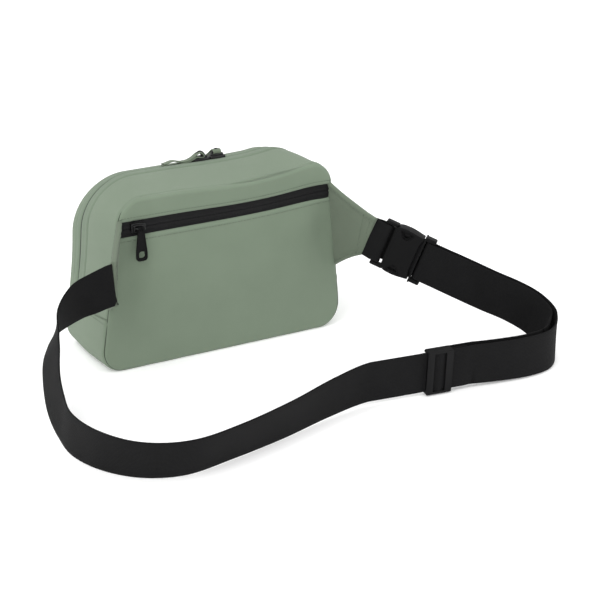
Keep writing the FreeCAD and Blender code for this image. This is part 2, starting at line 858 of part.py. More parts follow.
def fold(name, frame, centre, pitch, start_angle, legs):
    """Webbing turned half way round a bar, with two straight legs.

    frame's local Y is the bar's axis. pitch is the distance between the legs' middles.
    legs gives the length of the leg on each side: at start_angle and half a turn further on.
    """
    half_width = size("webbing_width").value / 2
    outer = pitch / 2 + size("webbing").value / 2
    inner = pitch / 2 - size("webbing").value / 2
    base = Placement(centre, Rotation(Vector(0, 1, 0), start_angle))

    def spot(x, z):
        return Vector(x, -half_width, z)

    edges = []
    for radius in (outer, inner):
        edges.append(Part.Arc(spot(0, radius), spot(radius, 0), spot(0, -radius)).toShape())
    first, second = legs
    for z_sign, leg in ((1, first), (-1, second)):
        edges.append(Part.makeLine(spot(0, z_sign * outer), spot(-leg, z_sign * outer)))
        edges.append(Part.makeLine(spot(0, z_sign * inner), spot(-leg, z_sign * inner)))
        edges.append(Part.makeLine(spot(-leg, z_sign * outer), spot(-leg, z_sign * inner)))
    wire = Part.Wire(Part.__sortEdges__(edges))
    shape = Part.Face(wire).extrude(Vector(0, 2 * half_width, 0))
    piece = feature(name, shape)
    piece.Placement = frame.multiply(base)
    return node(piece, name)


def buckle_frame():
    """Local X from the right wing to the belt, local Y up across it, local Z to the waist."""
    turn = math.radians(BUCKLE_TURN)
    slope = math.radians(BUCKLE_SLOPE)
    along = Vector(math.cos(slope) * math.cos(turn), math.cos(slope) * math.sin(turn),
                   -math.sin(slope))
    width, outward = webbing_axes(-along, 0.0)
    return Placement(RIGHT_TIP, Rotation(along, width, -outward, "ZXY"))


def glide_frame():
    """Local X along the belt, local Y up across it, local Z away from the waist."""
    turn = math.radians(GLIDE_TURN)
    along = Vector(math.cos(turn), math.sin(turn), 0)
    width, outward = webbing_axes(along, GLIDE_LEAN)
    rise = size("glide_height").value / 2 + 0.3
    centre = Vector(GLIDE_CENTRE_XY[0], GLIDE_CENTRE_XY[1], rise)
    return Placement(centre, Rotation(along, width, outward, "ZXY"))


def route_point(frame, x, lean):
    """A route's station at local x on a frame's axis."""
    spot = frame.multVec(Vector(x, 0, 0))
    return (spot.x, spot.y, spot.z, lean)


def bar_pitch():
    """Distance between the two legs of webbing that goes round a buckle's bar."""
    return (size("bar_radius") + size("fold_clearance")) * 2 + size("webbing")


def glide_pitch():
    """Distance between the legs of the webbing's end that goes round the centre bar."""
    return size("centre_bar") + size("fold_clearance") * 2 + size("webbing")


# ---------------------------------------------------------------- the belt

def make_belt(buckle, glide):
    straight = glide.Rotation.multVec(Vector(1, 0, 0))
    half_glide = size("glide_length").value / 2
    break_place = -half_glide - 2.0
    gap = size("fold_clearance").value
    travel_start = -half_glide - 52.0

    # the single ply, from the left wing's end round to just before the tri-glide
    stations = LONG_ROUTE + [route_point(glide, travel_start, GLIDE_LEAN)]
    curve = smooth_route(stations, end_heading=straight)
    curve.append(route_point(glide, break_place - gap, GLIDE_LEAN))
    shape = ribbon(curve, start_heading=LEFT_HEADING, end_heading=straight)
    node(feature("belt_long", shape), "belt_long")

    # the outer ply goes on through the tri-glide and round the turn to the buckle's bar
    pitch = bar_pitch().value
    along = buckle.Rotation.multVec(Vector(1, 0, 0))
    bar = size("male_bar_place").value
    leg = 6.0
    outer_end = buckle.multVec(Vector(bar + leg, 0, -pitch / 2))
    straight_end = buckle.multVec(Vector(bar + leg + 14.0, 0, -pitch / 2))
    tail_end = size("tail_length").value
    stations = [route_point(glide, tail_end + 4.0, GLIDE_LEAN)] + TURN_ROUTE
    stations.append(tuple(straight_end) + (0.0,))
    curve = smooth_route(stations, start_heading=straight, end_heading=-along)
    outer = [route_point(glide, break_place, GLIDE_LEAN)] + curve + [tuple(outer_end) + (0.0,)]
    shape = ribbon(outer, start_heading=straight, end_heading=-along)
    node(feature("belt_outer_run", shape), "belt_outer_run")
    inner = [route_point(glide, tail_end + gap, GLIDE_LEAN)] + curve
    inner.append(tuple(outer_end) + (0.0,))
    shape = ribbon(inner, -pitch, straight, -along)
    node(feature("belt_inner_run", shape), "belt_inner_run")

    # folded round the male bar, and round the female bar into the right wing
    fold("belt_bar_fold", buckle, Vector(bar, 0, 0), pitch, 180.0, (leg, leg))
    fold("belt_short", buckle, Vector(size("female_bar_place").value, 0, 0), pitch, 0.0,
         (size("female_bar_place").value, size("female_bar_place").value))

    # the sewn end round the tri-glide's centre bar: a short tail and the inner ply's first part
    glide_fold = glide_pitch().value
    centre = Vector(0, 0, -(pitch - glide_fold / 2))
    reach = tail_end
    fold("belt_end_fold", glide, centre, glide_fold, 180.0, (reach, reach * 0.9))


# ---------------------------------------------------------------- buckle

def make_female(frame):
    half = size("buckle_width") / 2
    thick = size("buckle_thickness")
    body = new_body("buckle_female", frame)
    plan = new_sketch(body, "female_plan")
    start = size("female_start")
    draw_rectangle(plan, start, size("female_end"), -half, half)
    pad(body, plan, "female_block", thick, midplane=True)

    ears = size("rail") * 2
    bar_end = size("female_bar_place") - size("bar_radius") * 2
    for side, sign in (("low", -1.0), ("high", 1.0)):
        ear = new_sketch(body, "female_ear_%s_plan" % side)
        edges = [half * sign, (half - size("rail")) * sign]
        edges.sort(key=lambda edge: edge.value)
        draw_rectangle(ear, bar_end, start + 1.0, edges[0], edges[1])
        pad(body, ear, "female_ear_" + side, ears, midplane=True)
    round_edges(body, "female_round", 2.4,
                lambda edge: is_along(edge, Vector(0, 0, 1))
                and abs(abs(edge.CenterOfMass.y) - half.value) < 0.01)

    cavity = new_sketch(body, "female_cavity_plan")
    half_cavity = size("cavity_width") / 2
    draw_rectangle(cavity, size("cavity_start"), size("female_end") + 1.0, -half_cavity,
                   half_cavity)
    pocket(body, cavity, "female_cavity", size("cavity_thickness"), midplane=True)
    for side, sign in (("low", -1.0), ("high", 1.0)):
        window = new_sketch(body, "female_window_%s_plan" % side)
        draw_circle(window, size("window_place"), (half + 1.0) * sign, size("window_radius"))
        pocket(body, window, "female_window_" + side, thick + 2.0, midplane=True)
    bar = body.newObject("PartDesign::AdditiveCylinder", "female_bar")
    bar.AttachmentSupport = [(plane_of(body, "XZ_Plane"), "")]
    bar.MapMode = "FlatFace"
    bar.setExpression("Radius", size("bar_radius").formula)
    bar.setExpression("Height", (half * 2 - size("rail")).formula)
    bar.AttachmentOffset = Placement(
        Vector(size("female_bar_place").value, 0, -(half - size("rail") / 2).value), Rotation())
    bar.setExpression("AttachmentOffset.Base.x", size("female_bar_place").formula)
    bar.setExpression("AttachmentOffset.Base.z", (-(half - size("rail") / 2)).formula)
    return node(body, "buckle_female")


def make_male(frame):
    """The male half: a flange against the female's mouth, a webbing bar and a guide tongue."""
    half = size("buckle_width") / 2
    clear = size("fit_clearance")
    inner_half = size("cavity_width") / 2 - clear
    thick = size("cavity_thickness") - clear * 2
    mouth = size("female_end")
    flange_end = mouth + clear + size("flange")
    body = new_body("buckle_male", frame)
    plan = new_sketch(body, "male_flange_plan")
    draw_rectangle(plan, mouth + clear, flange_end, -half, half)
    pad(body, plan, "male_flange", size("buckle_thickness") - 1.0, midplane=True)
    for side, sign in (("low", -1.0), ("high", 1.0)):
        ear = new_sketch(body, "male_ear_%s_plan" % side)
        edges = [half * sign, (half - size("rail")) * sign]
        edges.sort(key=lambda edge: edge.value)
        draw_rectangle(ear, mouth + clear, size("male_end"), edges[0], edges[1])
        pad(body, ear, "male_ear_" + side, size("rail") * 2, midplane=True)
    beam = new_sketch(body, "male_beam_plan")
    draw_rectangle(beam, size("beam_start"), mouth + clear + 0.5, -inner_half, inner_half)
    pad(body, beam, "male_beam", thick, midplane=True)
    tongue = new_sketch(body, "male_tongue_plan")
    half_tongue = size("tongue_width") / 2
    draw_rectangle(tongue, size("prong_tip") - 1.0, size("beam_start") + 0.5, -half_tongue,
                   half_tongue)
    pad(body, tongue, "male_tongue", thick, midplane=True)
    round_edges(body, "male_round", 1.4,
                lambda edge: is_along(edge, Vector(0, 0, 1))
                and abs(abs(edge.CenterOfMass.y) - half.value) < 0.01
                and abs(edge.CenterOfMass.x - size("male_end").value) < 0.01)
    # two round sockets in the beam carry the prongs' roots
    for side, sign in (("low", -1.0), ("high", 1.0)):
        socket = new_sketch(body, "male_socket_%s_plan" % side)
        draw_circle(socket, prong_root(), prong_line() * sign,
                    size("prong_pin_radius") + 0.05)
        pocket(body, socket, "male_socket_" + side, thick + 2.0, midplane=True)
        slot = new_sketch(body, "male_slot_%s_plan" % side)
        reach = size("prong_width") / 2 + size("prong_gap")
        middle = prong_line() * sign
        draw_rectangle(slot, size("beam_start") - 1.0, prong_root() - 0.4, middle - reach,
                       middle + reach)
        pocket(body, slot, "male_slot_" + side, thick + 2.0, midplane=True)
    bar = body.newObject("PartDesign::AdditiveCylinder", "male_bar")
    bar.AttachmentSupport = [(plane_of(body, "XZ_Plane"), "")]
    bar.MapMode = "FlatFace"
    bar.setExpression("Radius", size("bar_radius").formula)
    bar.setExpression("Height", (half * 2 - size("rail")).formula)
    bar.AttachmentOffset = Placement(
        Vector(size("male_bar_place").value, 0, -(half - size("rail") / 2).value), Rotation())
    bar.setExpression("AttachmentOffset.Base.x", size("male_bar_place").formula)
    bar.setExpression("AttachmentOffset.Base.z", (-(half - size("rail") / 2)).formula)
    return node(body, "buckle_male")


def prong_root():
    """Local X of a prong's pivot in the male half's beam."""
    return size("beam_start") + size("prong_pin_radius") + 0.8


def prong_line():
    """Distance of a prong's middle line from the buckle's middle."""
    return (size("cavity_width") / 2 - size("fit_clearance") - size("prong_width") / 2
            - size("prong_gap"))


def make_prong(frame, side, sign):
    """A spring arm of the male half, with its finger pad in the female's side window."""
    thick = size("cavity_thickness") - size("fit_clearance") * 2
    half_arm = size("prong_width") / 2
    line = prong_line() * sign
    body = new_body("buckle_prong_" + side, frame)
    root = new_sketch(body, "prong_root_%s_plan" % side)
    draw_circle(root, prong_root(), line, size("prong_pin_radius"))
    pad(body, root, "prong_root_" + side, thick, midplane=True)
    arm = new_sketch(body, "prong_arm_%s_plan" % side)
    arm_half = half_arm * 0.55
    draw_rectangle(arm, size("prong_tip") + 2.0, prong_root() - 0.6, line - arm_half,
                   line + arm_half)
    pad(body, arm, "prong_arm_" + side, thick, midplane=True)
    finger = new_sketch(body, "prong_finger_%s_plan" % side)
    place = size("window_place")
    outer = line + half_arm * sign
    points = [(size("prong_tip"), line), (place - 4.0, outer), (place + 3.0, outer),
              (place + 6.0, line)]
    if sign > 0:
        points.reverse()
    draw_polygon(finger, points)
    pad(body, finger, "prong_finger_" + side, thick, midplane=True)
    return node(body, "buckle_prong_" + side)


# ---------------------------------------------------------------- tri-glide

def make_glide(frame):
    """The adjuster: two outer bars over the belt and a recessed centre bar behind it."""
    half_length = size("glide_length") / 2
    half_height = size("glide_height") / 2
    rail = size("glide_rail")
    ply = size("webbing") / 2
    clear = size("glide_clearance")
    bar = size("glide_bar")
    face = ply + clear
    front = face + size("glide_bar_thickness")
    bar_middle = -(bar_pitch() - glide_pitch() / 2)
    back = bar_middle - size("centre_bar") / 2
    body = new_body("triglide", frame)
    for side, sign in (("low", -1.0), ("high", 1.0)):
        edges = [half_height * sign, (half_height - rail) * sign]
        edges.sort(key=lambda edge: edge.value)
        plan = new_sketch(body, "glide_rail_%s_plan" % side, back)
        draw_rectangle(plan, -half_length, half_length, edges[0], edges[1])
        pad(body, plan, "glide_rail_" + side, front - back)
        if side == "low":
            for name, x_low, x_high in (("left", -half_length, -half_length + bar),
                                        ("right", half_length - bar, half_length)):
                cross = new_sketch(body, "glide_bar_%s_plan" % name, face)
                draw_rectangle(cross, x_low, x_high, -half_height, half_height)
                pad(body, cross, "glide_bar_" + name, size("glide_bar_thickness"))
    round_edges(body, "glide_round", 1.6,
                lambda edge: is_along(edge, Vector(0, 0, 1))
                and abs(abs(edge.CenterOfMass.y) - half_height.value) < 0.01
                and abs(abs(edge.CenterOfMass.x) - half_length.value) < 0.01)
    centre = body.newObject("PartDesign::AdditiveCylinder", "glide_centre_bar")
    centre.AttachmentSupport = [(plane_of(body, "XZ_Plane"), "")]
    centre.MapMode = "FlatFace"
    centre.setExpression("Radius", (size("centre_bar") / 2).formula)
    centre.setExpression("Height", (half_height * 2 - rail).formula)
    centre.AttachmentOffset = Placement(
        Vector(0, bar_middle.value, -(half_height - rail / 2).value), Rotation())
    centre.setExpression("AttachmentOffset.Base.y", bar_middle.formula)
    centre.setExpression("AttachmentOffset.Base.z", (-(half_height - rail / 2)).formula)
    return node(body, "triglide")


# ---------------------------------------------------------------- build, check and write

def check_and_write():
    document.recompute()
    for item in document.Objects:
        if "Invalid" in item.State or "Error" in item.State:
            raise ValueError("%s did not build: %s" % (item.Label, item.State))
    os.makedirs("parts", exist_ok=True)
    for piece in nodes:
        shape = piece.Shape
        if shape.isNull() or not shape.isValid() or not shape.Solids:
            raise ValueError(piece.Label + " is not a valid solid")
        shape.exportStep("parts/%s.step" % piece.Label)
        print("%-22s %2d solid(s) %9.0f mm3" % (piece.Label, len(shape.Solids), shape.Volume))


make_pocket(make_shell())
make_zip_hardware()
make_wing("wing_left", -1, LEFT_TIP, 0.0)
make_wing("wing_right", 1, RIGHT_TIP, math.radians(BUCKLE_SLOPE))
buckle = buckle_frame()
glide = glide_frame()
make_belt(buckle, glide)
make_female(buckle)
make_male(buckle)
make_prong(buckle, "low", -1.0)
make_prong(buckle, "high", 1.0)
make_glide(glide)
check_and_write()
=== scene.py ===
"""Looks for the belt bag: canvas shell, zips, webbing belt, buckle and tri-glide, in metres."""

import json
import math

import bmesh
import bpy
import numpy as np
from mathutils import Matrix, Vector


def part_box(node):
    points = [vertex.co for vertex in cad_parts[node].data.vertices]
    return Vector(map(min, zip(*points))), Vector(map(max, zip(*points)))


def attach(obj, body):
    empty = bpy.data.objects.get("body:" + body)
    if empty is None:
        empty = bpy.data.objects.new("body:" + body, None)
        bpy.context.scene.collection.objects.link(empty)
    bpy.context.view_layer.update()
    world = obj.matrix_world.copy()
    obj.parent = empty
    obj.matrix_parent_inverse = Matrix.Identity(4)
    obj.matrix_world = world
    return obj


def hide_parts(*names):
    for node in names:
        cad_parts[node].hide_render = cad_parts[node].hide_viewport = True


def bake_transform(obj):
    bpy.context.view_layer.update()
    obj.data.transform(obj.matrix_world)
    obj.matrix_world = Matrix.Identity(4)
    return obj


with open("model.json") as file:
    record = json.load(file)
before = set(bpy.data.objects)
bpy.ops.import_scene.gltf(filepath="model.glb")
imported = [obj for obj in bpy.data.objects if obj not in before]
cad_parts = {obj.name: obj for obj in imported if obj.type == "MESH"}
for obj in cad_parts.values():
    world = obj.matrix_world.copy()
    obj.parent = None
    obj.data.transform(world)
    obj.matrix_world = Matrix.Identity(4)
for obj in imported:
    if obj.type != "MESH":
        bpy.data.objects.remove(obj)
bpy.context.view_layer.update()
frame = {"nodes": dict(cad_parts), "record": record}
MM = 0.001

# ---------------------------------------------------------------- places taken from the frame

BACK_LOW, BACK_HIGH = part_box("back_panel")
YOKE_LOW, YOKE_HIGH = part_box("back_yoke")
FRONT_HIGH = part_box("front_panel")[1]
REAR = BACK_LOW.y
FRONT = FRONT_HIGH.y
DEPTH = FRONT - REAR
HALF_BASE = BACK_HIGH.x
REAR_HALF_TOP = 106 * MM
CROWN_HALF_TOP = 111 * MM
FRONT_HALF_TOP = 115 * MM
REAR_TOP = YOKE_HIGH.z
FRONT_TOP = FRONT_HIGH.z
CROWN_TOP = 158 * MM
CROWN_PLACE = 14 * MM
BASE_CORNER = 20 * MM
REAR_CORNER = 22 * MM
CROWN_CORNER = 44 * MM
FRONT_CORNER = 52 * MM
JOIN_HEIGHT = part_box("gusset_bottom")[1].z
MAIN_ZIP = (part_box("main_tape_rear")[1].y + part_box("main_tape_front")[0].y) / 2
FLANGE_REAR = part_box("main_tape_rear")[0].y
FLANGE_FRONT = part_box("main_tape_front")[1].y
ZIP_LOW = BACK_HIGH.z
ZIP_HIGH = YOKE_LOW.z
ZIP_MIDDLE = (ZIP_LOW + ZIP_HIGH) / 2
LEAN = 6.5 * MM

WEBBING_WIDTH = 38 * MM
WEBBING = 1.5 * MM
BAR_PITCH = 6.1 * MM
GLIDE_PITCH = 4.3 * MM
# half the gap between the two plies round a bar, in millimetres as the local frames use
BAR_TURN = BAR_PITCH / 2 / MM
GLIDE_TURN = GLIDE_PITCH / 2 / MM
FEMALE_BAR = 12.5
MALE_BAR = 52.3
BUCKLE_TURN, BUCKLE_SLOPE = math.radians(-44), math.radians(21)
GLIDE_HEADING = math.radians(-7.4)
LEFT_HEADING = (-1, 0.12, -0.08)
# cloth stops this far short of the drawn outline, where it rolls into a seam
PANEL_INSET = 0.9 * MM
CANVAS_THICKNESS = 1.2 * MM
WING_LOW, WING_HIGH = 58 * MM, 140 * MM
LEFT_TIP = np.array((-124, -84, 100)) * MM
RIGHT_TIP = np.array((126, -86, 99)) * MM
GLIDE_CENTRE = np.array((113, -219.5, 22.1)) * MM
GLIDE_LEAN = 5

# where the belt lies, in millimetres: x, y, z and the lean of its top edge
LONG_ROUTE = [(-124, -84, 100, 0), (-139, -82, 95.5, -7), (-156, -79, 88, -15),
              (-173, -82, 76, -26), (-184, -91, 62, -29), (-192, -105, 48, -24),
              (-199, -125, 34, -16), (-203, -149, 24, -8), (-205, -178, 19.8, 0),
              (-196, -214, 19.3, 9), (-174, -243, 18.8, 17), (-140, -256, 18.5, 20),
              (-95, -249, 18.5, 20), (-42, -235, 18.9, 15), (8, -219, 20.4, 9)]
TURN_ROUTE = [(172, -228, 21, 3), (200, -230, 20, 1), (225, -226, 19.6, 0),
              (241, -214, 21, 0), (246, -199, 27, 0), (240, -184, 37, 0), (226, -170, 47, 0),
              (207, -154, 56.5, 0)]


# ---------------------------------------------------------------- materials

def new_material(name):
    material = bpy.data.materials.new(name)
    material.use_nodes = True
    return material, material.node_tree, material.node_tree.nodes["Principled BSDF"]


def add_node(tree, kind, inputs=None, **settings):
    """A node of that kind. An input is given a value, or a (node, output) pair to join it to."""
    node = tree.nodes.new(kind)
    for key, value in settings.items():
        setattr(node, key, value)
    for key, value in (inputs or {}).items():
        feed(tree, node, key, value)
    return node


def feed(tree, node, key, value):
    if isinstance(value, tuple) and isinstance(value[0], bpy.types.Node):
        tree.links.new(value[0].outputs[value[1]], node.inputs[key])
    else:
        node.inputs[key].default_value = value


def noise(tree, vector, scale, detail, roughness):
    return add_node(tree, "ShaderNodeTexNoise", {"Vector": vector, "Scale": scale,
                                                 "Detail": detail, "Roughness": roughness}), "Fac"


def math_node(tree, operation, *inputs):
    return add_node(tree, "ShaderNodeMath", dict(enumerate(inputs)), operation=operation), "Value"


def map_range(tree, value, side, low, high):
    """A map range whose From or To side runs from low to high."""
    return add_node(tree, "ShaderNodeMapRange", {side + " Min": low, side + " Max": high,
                                                 "Value": value}), "Result"


def mix_colours(tree, factor, first, second):
    return add_node(tree, "ShaderNodeMix", {"A": (*first, 1), "B": (*second, 1),
                                            "Factor": factor}, data_type="RGBA"), "Result"


def bump_node(tree, height, strength, distance):
    return add_node(tree, "ShaderNodeBump", {"Height": height, "Strength": strength,
                                             "Distance": distance}), "Normal"


def threads(tree, coordinate, direction, period, distortion=0.4):
    """One set of parallel threads, as a wave over the cloth's own coordinates."""
    return add_node(tree, "ShaderNodeTexWave",
                    {"Scale": 2 * math.pi / period / 20, "Distortion": distortion, "Detail": 1.0,
                     "Vector": (coordinate, "UV")},
                    wave_type="BANDS", bands_direction=direction, wave_profile="SIN"), "Fac"


def cloth(name, colour, shade, warp, weft, roughness, bump, sheen, mottle=0.5, streak=0.0,
          specular=0.25):
    """Woven cloth: two sets of threads in relief, uneven dye, soft sheen and fine fuzz.

    warp and weft are thread spacings in millimetres; the mesh's UVs are in millimetres.
    """
    material, tree, shader = new_material(name)
    place = add_node(tree, "ShaderNodeTexCoord")
    weave = math_node(tree, "MAXIMUM", threads(tree, place, "X", warp),
                      threads(tree, place, "Y", weft))
    patches = noise(tree, (place, "Object"), 26.0, 5.0, 0.62)
    fibres = noise(tree, (place, "Object"), 900.0, 4.0, 0.7)
    slub = add_node(tree, "ShaderNodeMapping", {"Scale": (1.6, 0.05, 1.0),
                                                "Vector": (place, "UV")})
    streaks = noise(tree, (slub, "Vector"), 1.0, 2.0, 0.5)

    thread_part = math_node(tree, "MULTIPLY_ADD", weave, 0.18, -0.14)
    blend = math_node(tree, "ADD", patches, thread_part)
    fuzz = math_node(tree, "MULTIPLY_ADD", fibres, 0.25, blend)
    stripe = math_node(tree, "MULTIPLY_ADD", streaks, streak, fuzz)
    shift = math_node(tree, "SUBTRACT", stripe, 0.125 + streak / 2)
    level = map_range(tree, shift, "From", 0.5 - mottle, 0.5 + mottle)
    relief = math_node(tree, "MULTIPLY_ADD", fibres, 0.6, weave)
    for key, value in {
            "Base Color": mix_colours(tree, level, shade, colour),
            "Normal": bump_node(tree, relief, bump, 0.0003),
            "Roughness": map_range(tree, fibres, "To", roughness - 0.08, roughness + 0.08),
            "Sheen Weight": sheen, "Sheen Roughness": 0.5,
            "Specular IOR Level": specular}.items():
        feed(tree, shader, key, value)
    return material


def moulded(name, colour, roughness, grain, specular=0.5, metallic=0.0):
    """Moulded plastic or painted metal with a fine grain, and edges worn a little paler."""
    material, tree, shader = new_material(name)
    place = add_node(tree, "ShaderNodeTexCoord")
    pores = noise(tree, (place, "Object"), 1400.0, 3.0, 0.6)
    cloud = noise(tree, (place, "Object"), 60.0, 4.0, 0.6)
    geometry = add_node(tree, "ShaderNodeNewGeometry")
    edge = map_range(tree, (geometry, "Pointiness"), "From", 0.52, 0.62)
    wear = math_node(tree, "MULTIPLY", edge, cloud)
    worn = [min(1, 1.8 * c + 0.004) for c in colour]
    for key, value in {
            "Base Color": mix_colours(tree, wear, colour, worn),
            "Roughness": map_range(tree, cloud, "To", roughness - 0.07, roughness + 0.1),
            "Normal": bump_node(tree, pores, grain, 0.0001),
            "Specular IOR Level": specular, "Metallic": metallic}.items():
        feed(tree, shader, key, value)
    return material


CANVAS = cloth("sage_canvas", (0.197, 0.251, 0.182), (0.166, 0.214, 0.153), 0.55, 0.48, 0.86,
               0.5, 0.12, mottle=0.55, streak=0.22)
FLANGE = cloth("sage_tape", (0.185, 0.238, 0.172), (0.15, 0.195, 0.14), 0.6, 0.9, 0.84, 0.5, 0.1)
WEB = cloth("black_webbing", (0.0085, 0.0085, 0.009), (0.0035, 0.0035, 0.0038), 1.35, 1.0,
            0.8, 0.8, 0.012, specular=0.12)
BLACK_TAPE = cloth("black_zip_tape", (0.010, 0.010, 0.0105), (0.0045, 0.0045, 0.005), 1.5,
                   0.8, 0.7, 0.8, 0.012, specular=0.2)
LINING = cloth("grey_lining", (0.06, 0.066, 0.06), (0.045, 0.05, 0.045), 0.4, 0.4, 0.8, 0.3,
               0.05)
# the bag's canvas darkened for the wings: painted shade, not a different cloth
WING_CANVAS_SHADED = cloth("wing_canvas_painted_shade", (0.15, 0.185, 0.135), (0.12, 0.15, 0.108), 0.55, 0.48, 0.86,
                   0.5, 0.1, mottle=0.55, streak=0.22)
PULL_TAPE = cloth("ribbed_pull_tape", (0.20, 0.25, 0.18), (0.13, 0.16, 0.115), 0.8, 1.3, 0.8,
                  0.8, 0.1)
# darker green for a rod laid in the seam grooves: painted shade
SEAM_SHADE_PAINT = cloth("seam_shadow_green", (0.075, 0.098, 0.069), (0.05, 0.066, 0.046), 0.5, 0.5, 0.9,
               0.4, 0.02)
GREEN_THREAD = cloth("green_thread", (0.105, 0.135, 0.096), (0.075, 0.1, 0.07), 0.3, 0.3, 0.7,
                     0.4, 0.1)
PLASTIC = moulded("black_acetal", (0.0026, 0.0026, 0.0029), 0.5, 0.25, specular=0.13)
METAL = moulded("black_metal", (0.003, 0.003, 0.0034), 0.3, 0.12, specular=0.35)
COIL = moulded("black_coil", (0.003, 0.003, 0.0033), 0.5, 0.2, specular=0.15)

# ---------------------------------------------------------------- mesh helpers

def new_object(name, data):
    thing = bpy.data.objects.new(name, data)
    bpy.context.scene.collection.objects.link(thing)
    return thing


def run_along(points):
    """The distance along a path at each of its points."""
    return np.concatenate([[0], np.cumsum(np.linalg.norm(np.diff(points, axis=0), axis=1))])


def resample(places, run, path):
    return np.stack([np.interp(places, run, column) for column in np.transpose(path)], axis=1)


def column(matrix, k):
    """One of a frame's three directions."""
    return np.array(matrix.col[k][:3])


def gather(parts):
    """Stations of several stretches as one list each of centres, widths and normals."""
    return [[item for part in parts for item in part[k]] for k in range(3)]


def finish_piece(piece, body, material, slot, *nodes):
    """Give a piece its material and its place in the model, and hide the CAD nodes it stands for.
    """
    piece.data.materials.clear()
    piece.data.materials.append(material)
    for polygon in piece.data.polygons:
        polygon.use_smooth = True
    if body:
        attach(piece, body)
    if nodes:
        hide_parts(*nodes)
    return piece


def mesh_piece(name, vertices, faces, uvs=None):
    mesh = bpy.data.meshes.new(name)
    mesh.from_pydata([tuple(v) for v in vertices], [], faces)
    if uvs is not None:
        layer = mesh.uv_layers.new(name="cloth")
        for loop in mesh.loops:
            layer.data[loop.index].uv = uvs[loop.vertex_index]
    mesh.validate()
    mesh.update()
    return new_object(name, mesh)


def grid_faces(rows, columns, wrap=False, start=0):
    """Quads over a grid of rows by columns of points; wrap joins the last column to the first."""
    faces = []
    span = columns if wrap else columns - 1
    for i in range(rows - 1):
        for j in range(span):
            k = (j + 1) % columns
            faces.append((start + i * columns + j, start + i * columns + k,
                          start + (i + 1) * columns + k, start + (i + 1) * columns + j))
    return faces


def grid_uvs(points):
    """UVs in millimetres: the distance along each row and down the middle column."""
    rows, columns, _ = points.shape
    along = np.zeros((rows, columns))
    along[:, 1:] = np.cumsum(np.linalg.norm(np.diff(points, axis=1), axis=2), axis=1)
    along -= along[:, columns // 2][:, None]
    down = np.zeros(rows)
    middle = points[:, columns // 2]
    down[1:] = np.cumsum(np.linalg.norm(np.diff(middle, axis=0), axis=1))
    uvs = np.stack([along, np.repeat(down[:, None], columns, axis=1)], axis=2) / MM
    return uvs.reshape(-1, 2)


def grid_piece(name, points, wrap=False):
    rows, columns, _ = points.shape
    return mesh_piece(name, points.reshape(-1, 3), grid_faces(rows, columns, wrap),
                      grid_uvs(points))


def apply_modifiers(piece):
    """Replace a piece's mesh with its mesh after modifiers."""
    bpy.context.view_layer.update()
    graph = bpy.context.evaluated_depsgraph_get()
    mesh = bpy.data.meshes.new_from_object(piece.evaluated_get(graph))
    piece.modifiers.clear()
    piece.data = mesh
    return piece


def join(name, pieces):
    """One object from several meshes that share the row frame."""
    builder = bmesh.new()
    for piece in pieces:
        piece.data.transform(piece.matrix_world)
        builder.from_mesh(piece.data)
        bpy.data.objects.remove(piece)
    mesh = bpy.data.meshes.new(name)
    builder.to_mesh(mesh)
    builder.free()
    return new_object(name, mesh)


def thicken(piece, thickness, offset=-1.0):
    modifier = piece.modifiers.new("thickness", "SOLIDIFY")
    modifier.thickness = thickness
    modifier.offset = offset
    modifier.use_even_offset = False
    return apply_modifiers(piece)


# ---------------------------------------------------------------- the bag's surface

RNG = np.random.default_rng(7)
WAVES = [(RNG.normal(size=3) * scale, RNG.uniform(0, 6.28), 1 / scale ** 0.9)
         for scale in (14, 22, 34, 50, 75) for _ in range(4)]


def dents(points):
    """A smooth uneven field over space, about -1 to 1, for cloth that isn't quite even."""
    total = np.zeros(points.shape[:-1])
    weight = 0
    for direction, phase, strength in WAVES:
        total += strength * np.sin(points @ direction + phase)
        weight += strength ** 2
    return total / math.sqrt(weight) * 0.7


def bump_at(value, middle, width):
    return np.exp(-((value - middle) / width) ** 2)


def settle(points):
    """Where the soft shell comes to rest: it leans, its top sags and one corner stands up."""
    points = np.array(points, float)
    x, y, z = points[..., 0], points[..., 1], points[..., 2]
    rise = np.clip(z / REAR_TOP, 0, 1.1)
    rear = np.clip((FRONT - y) / DEPTH, 0, 1)
    sag = -3.4 * bump_at(x, 14 * MM, 46 * MM) + 4.2 * bump_at(x, 88 * MM, 27 * MM)
    front = 1 - rear
    crest = 0.3 + 4.4 * bump_at(x, 84 * MM, 26 * MM)
    squeeze = 2.2 * front * bump_at(z, 84 * MM, 40 * MM) * (x < 0)
    points[..., 0] = x + LEAN * rise + squeeze * MM * np.clip(-x / (60 * MM), 0, 1)
    points[..., 2] = z + (sag * rear ** 1.5 + crest * front) * MM * rise ** 6
    return points


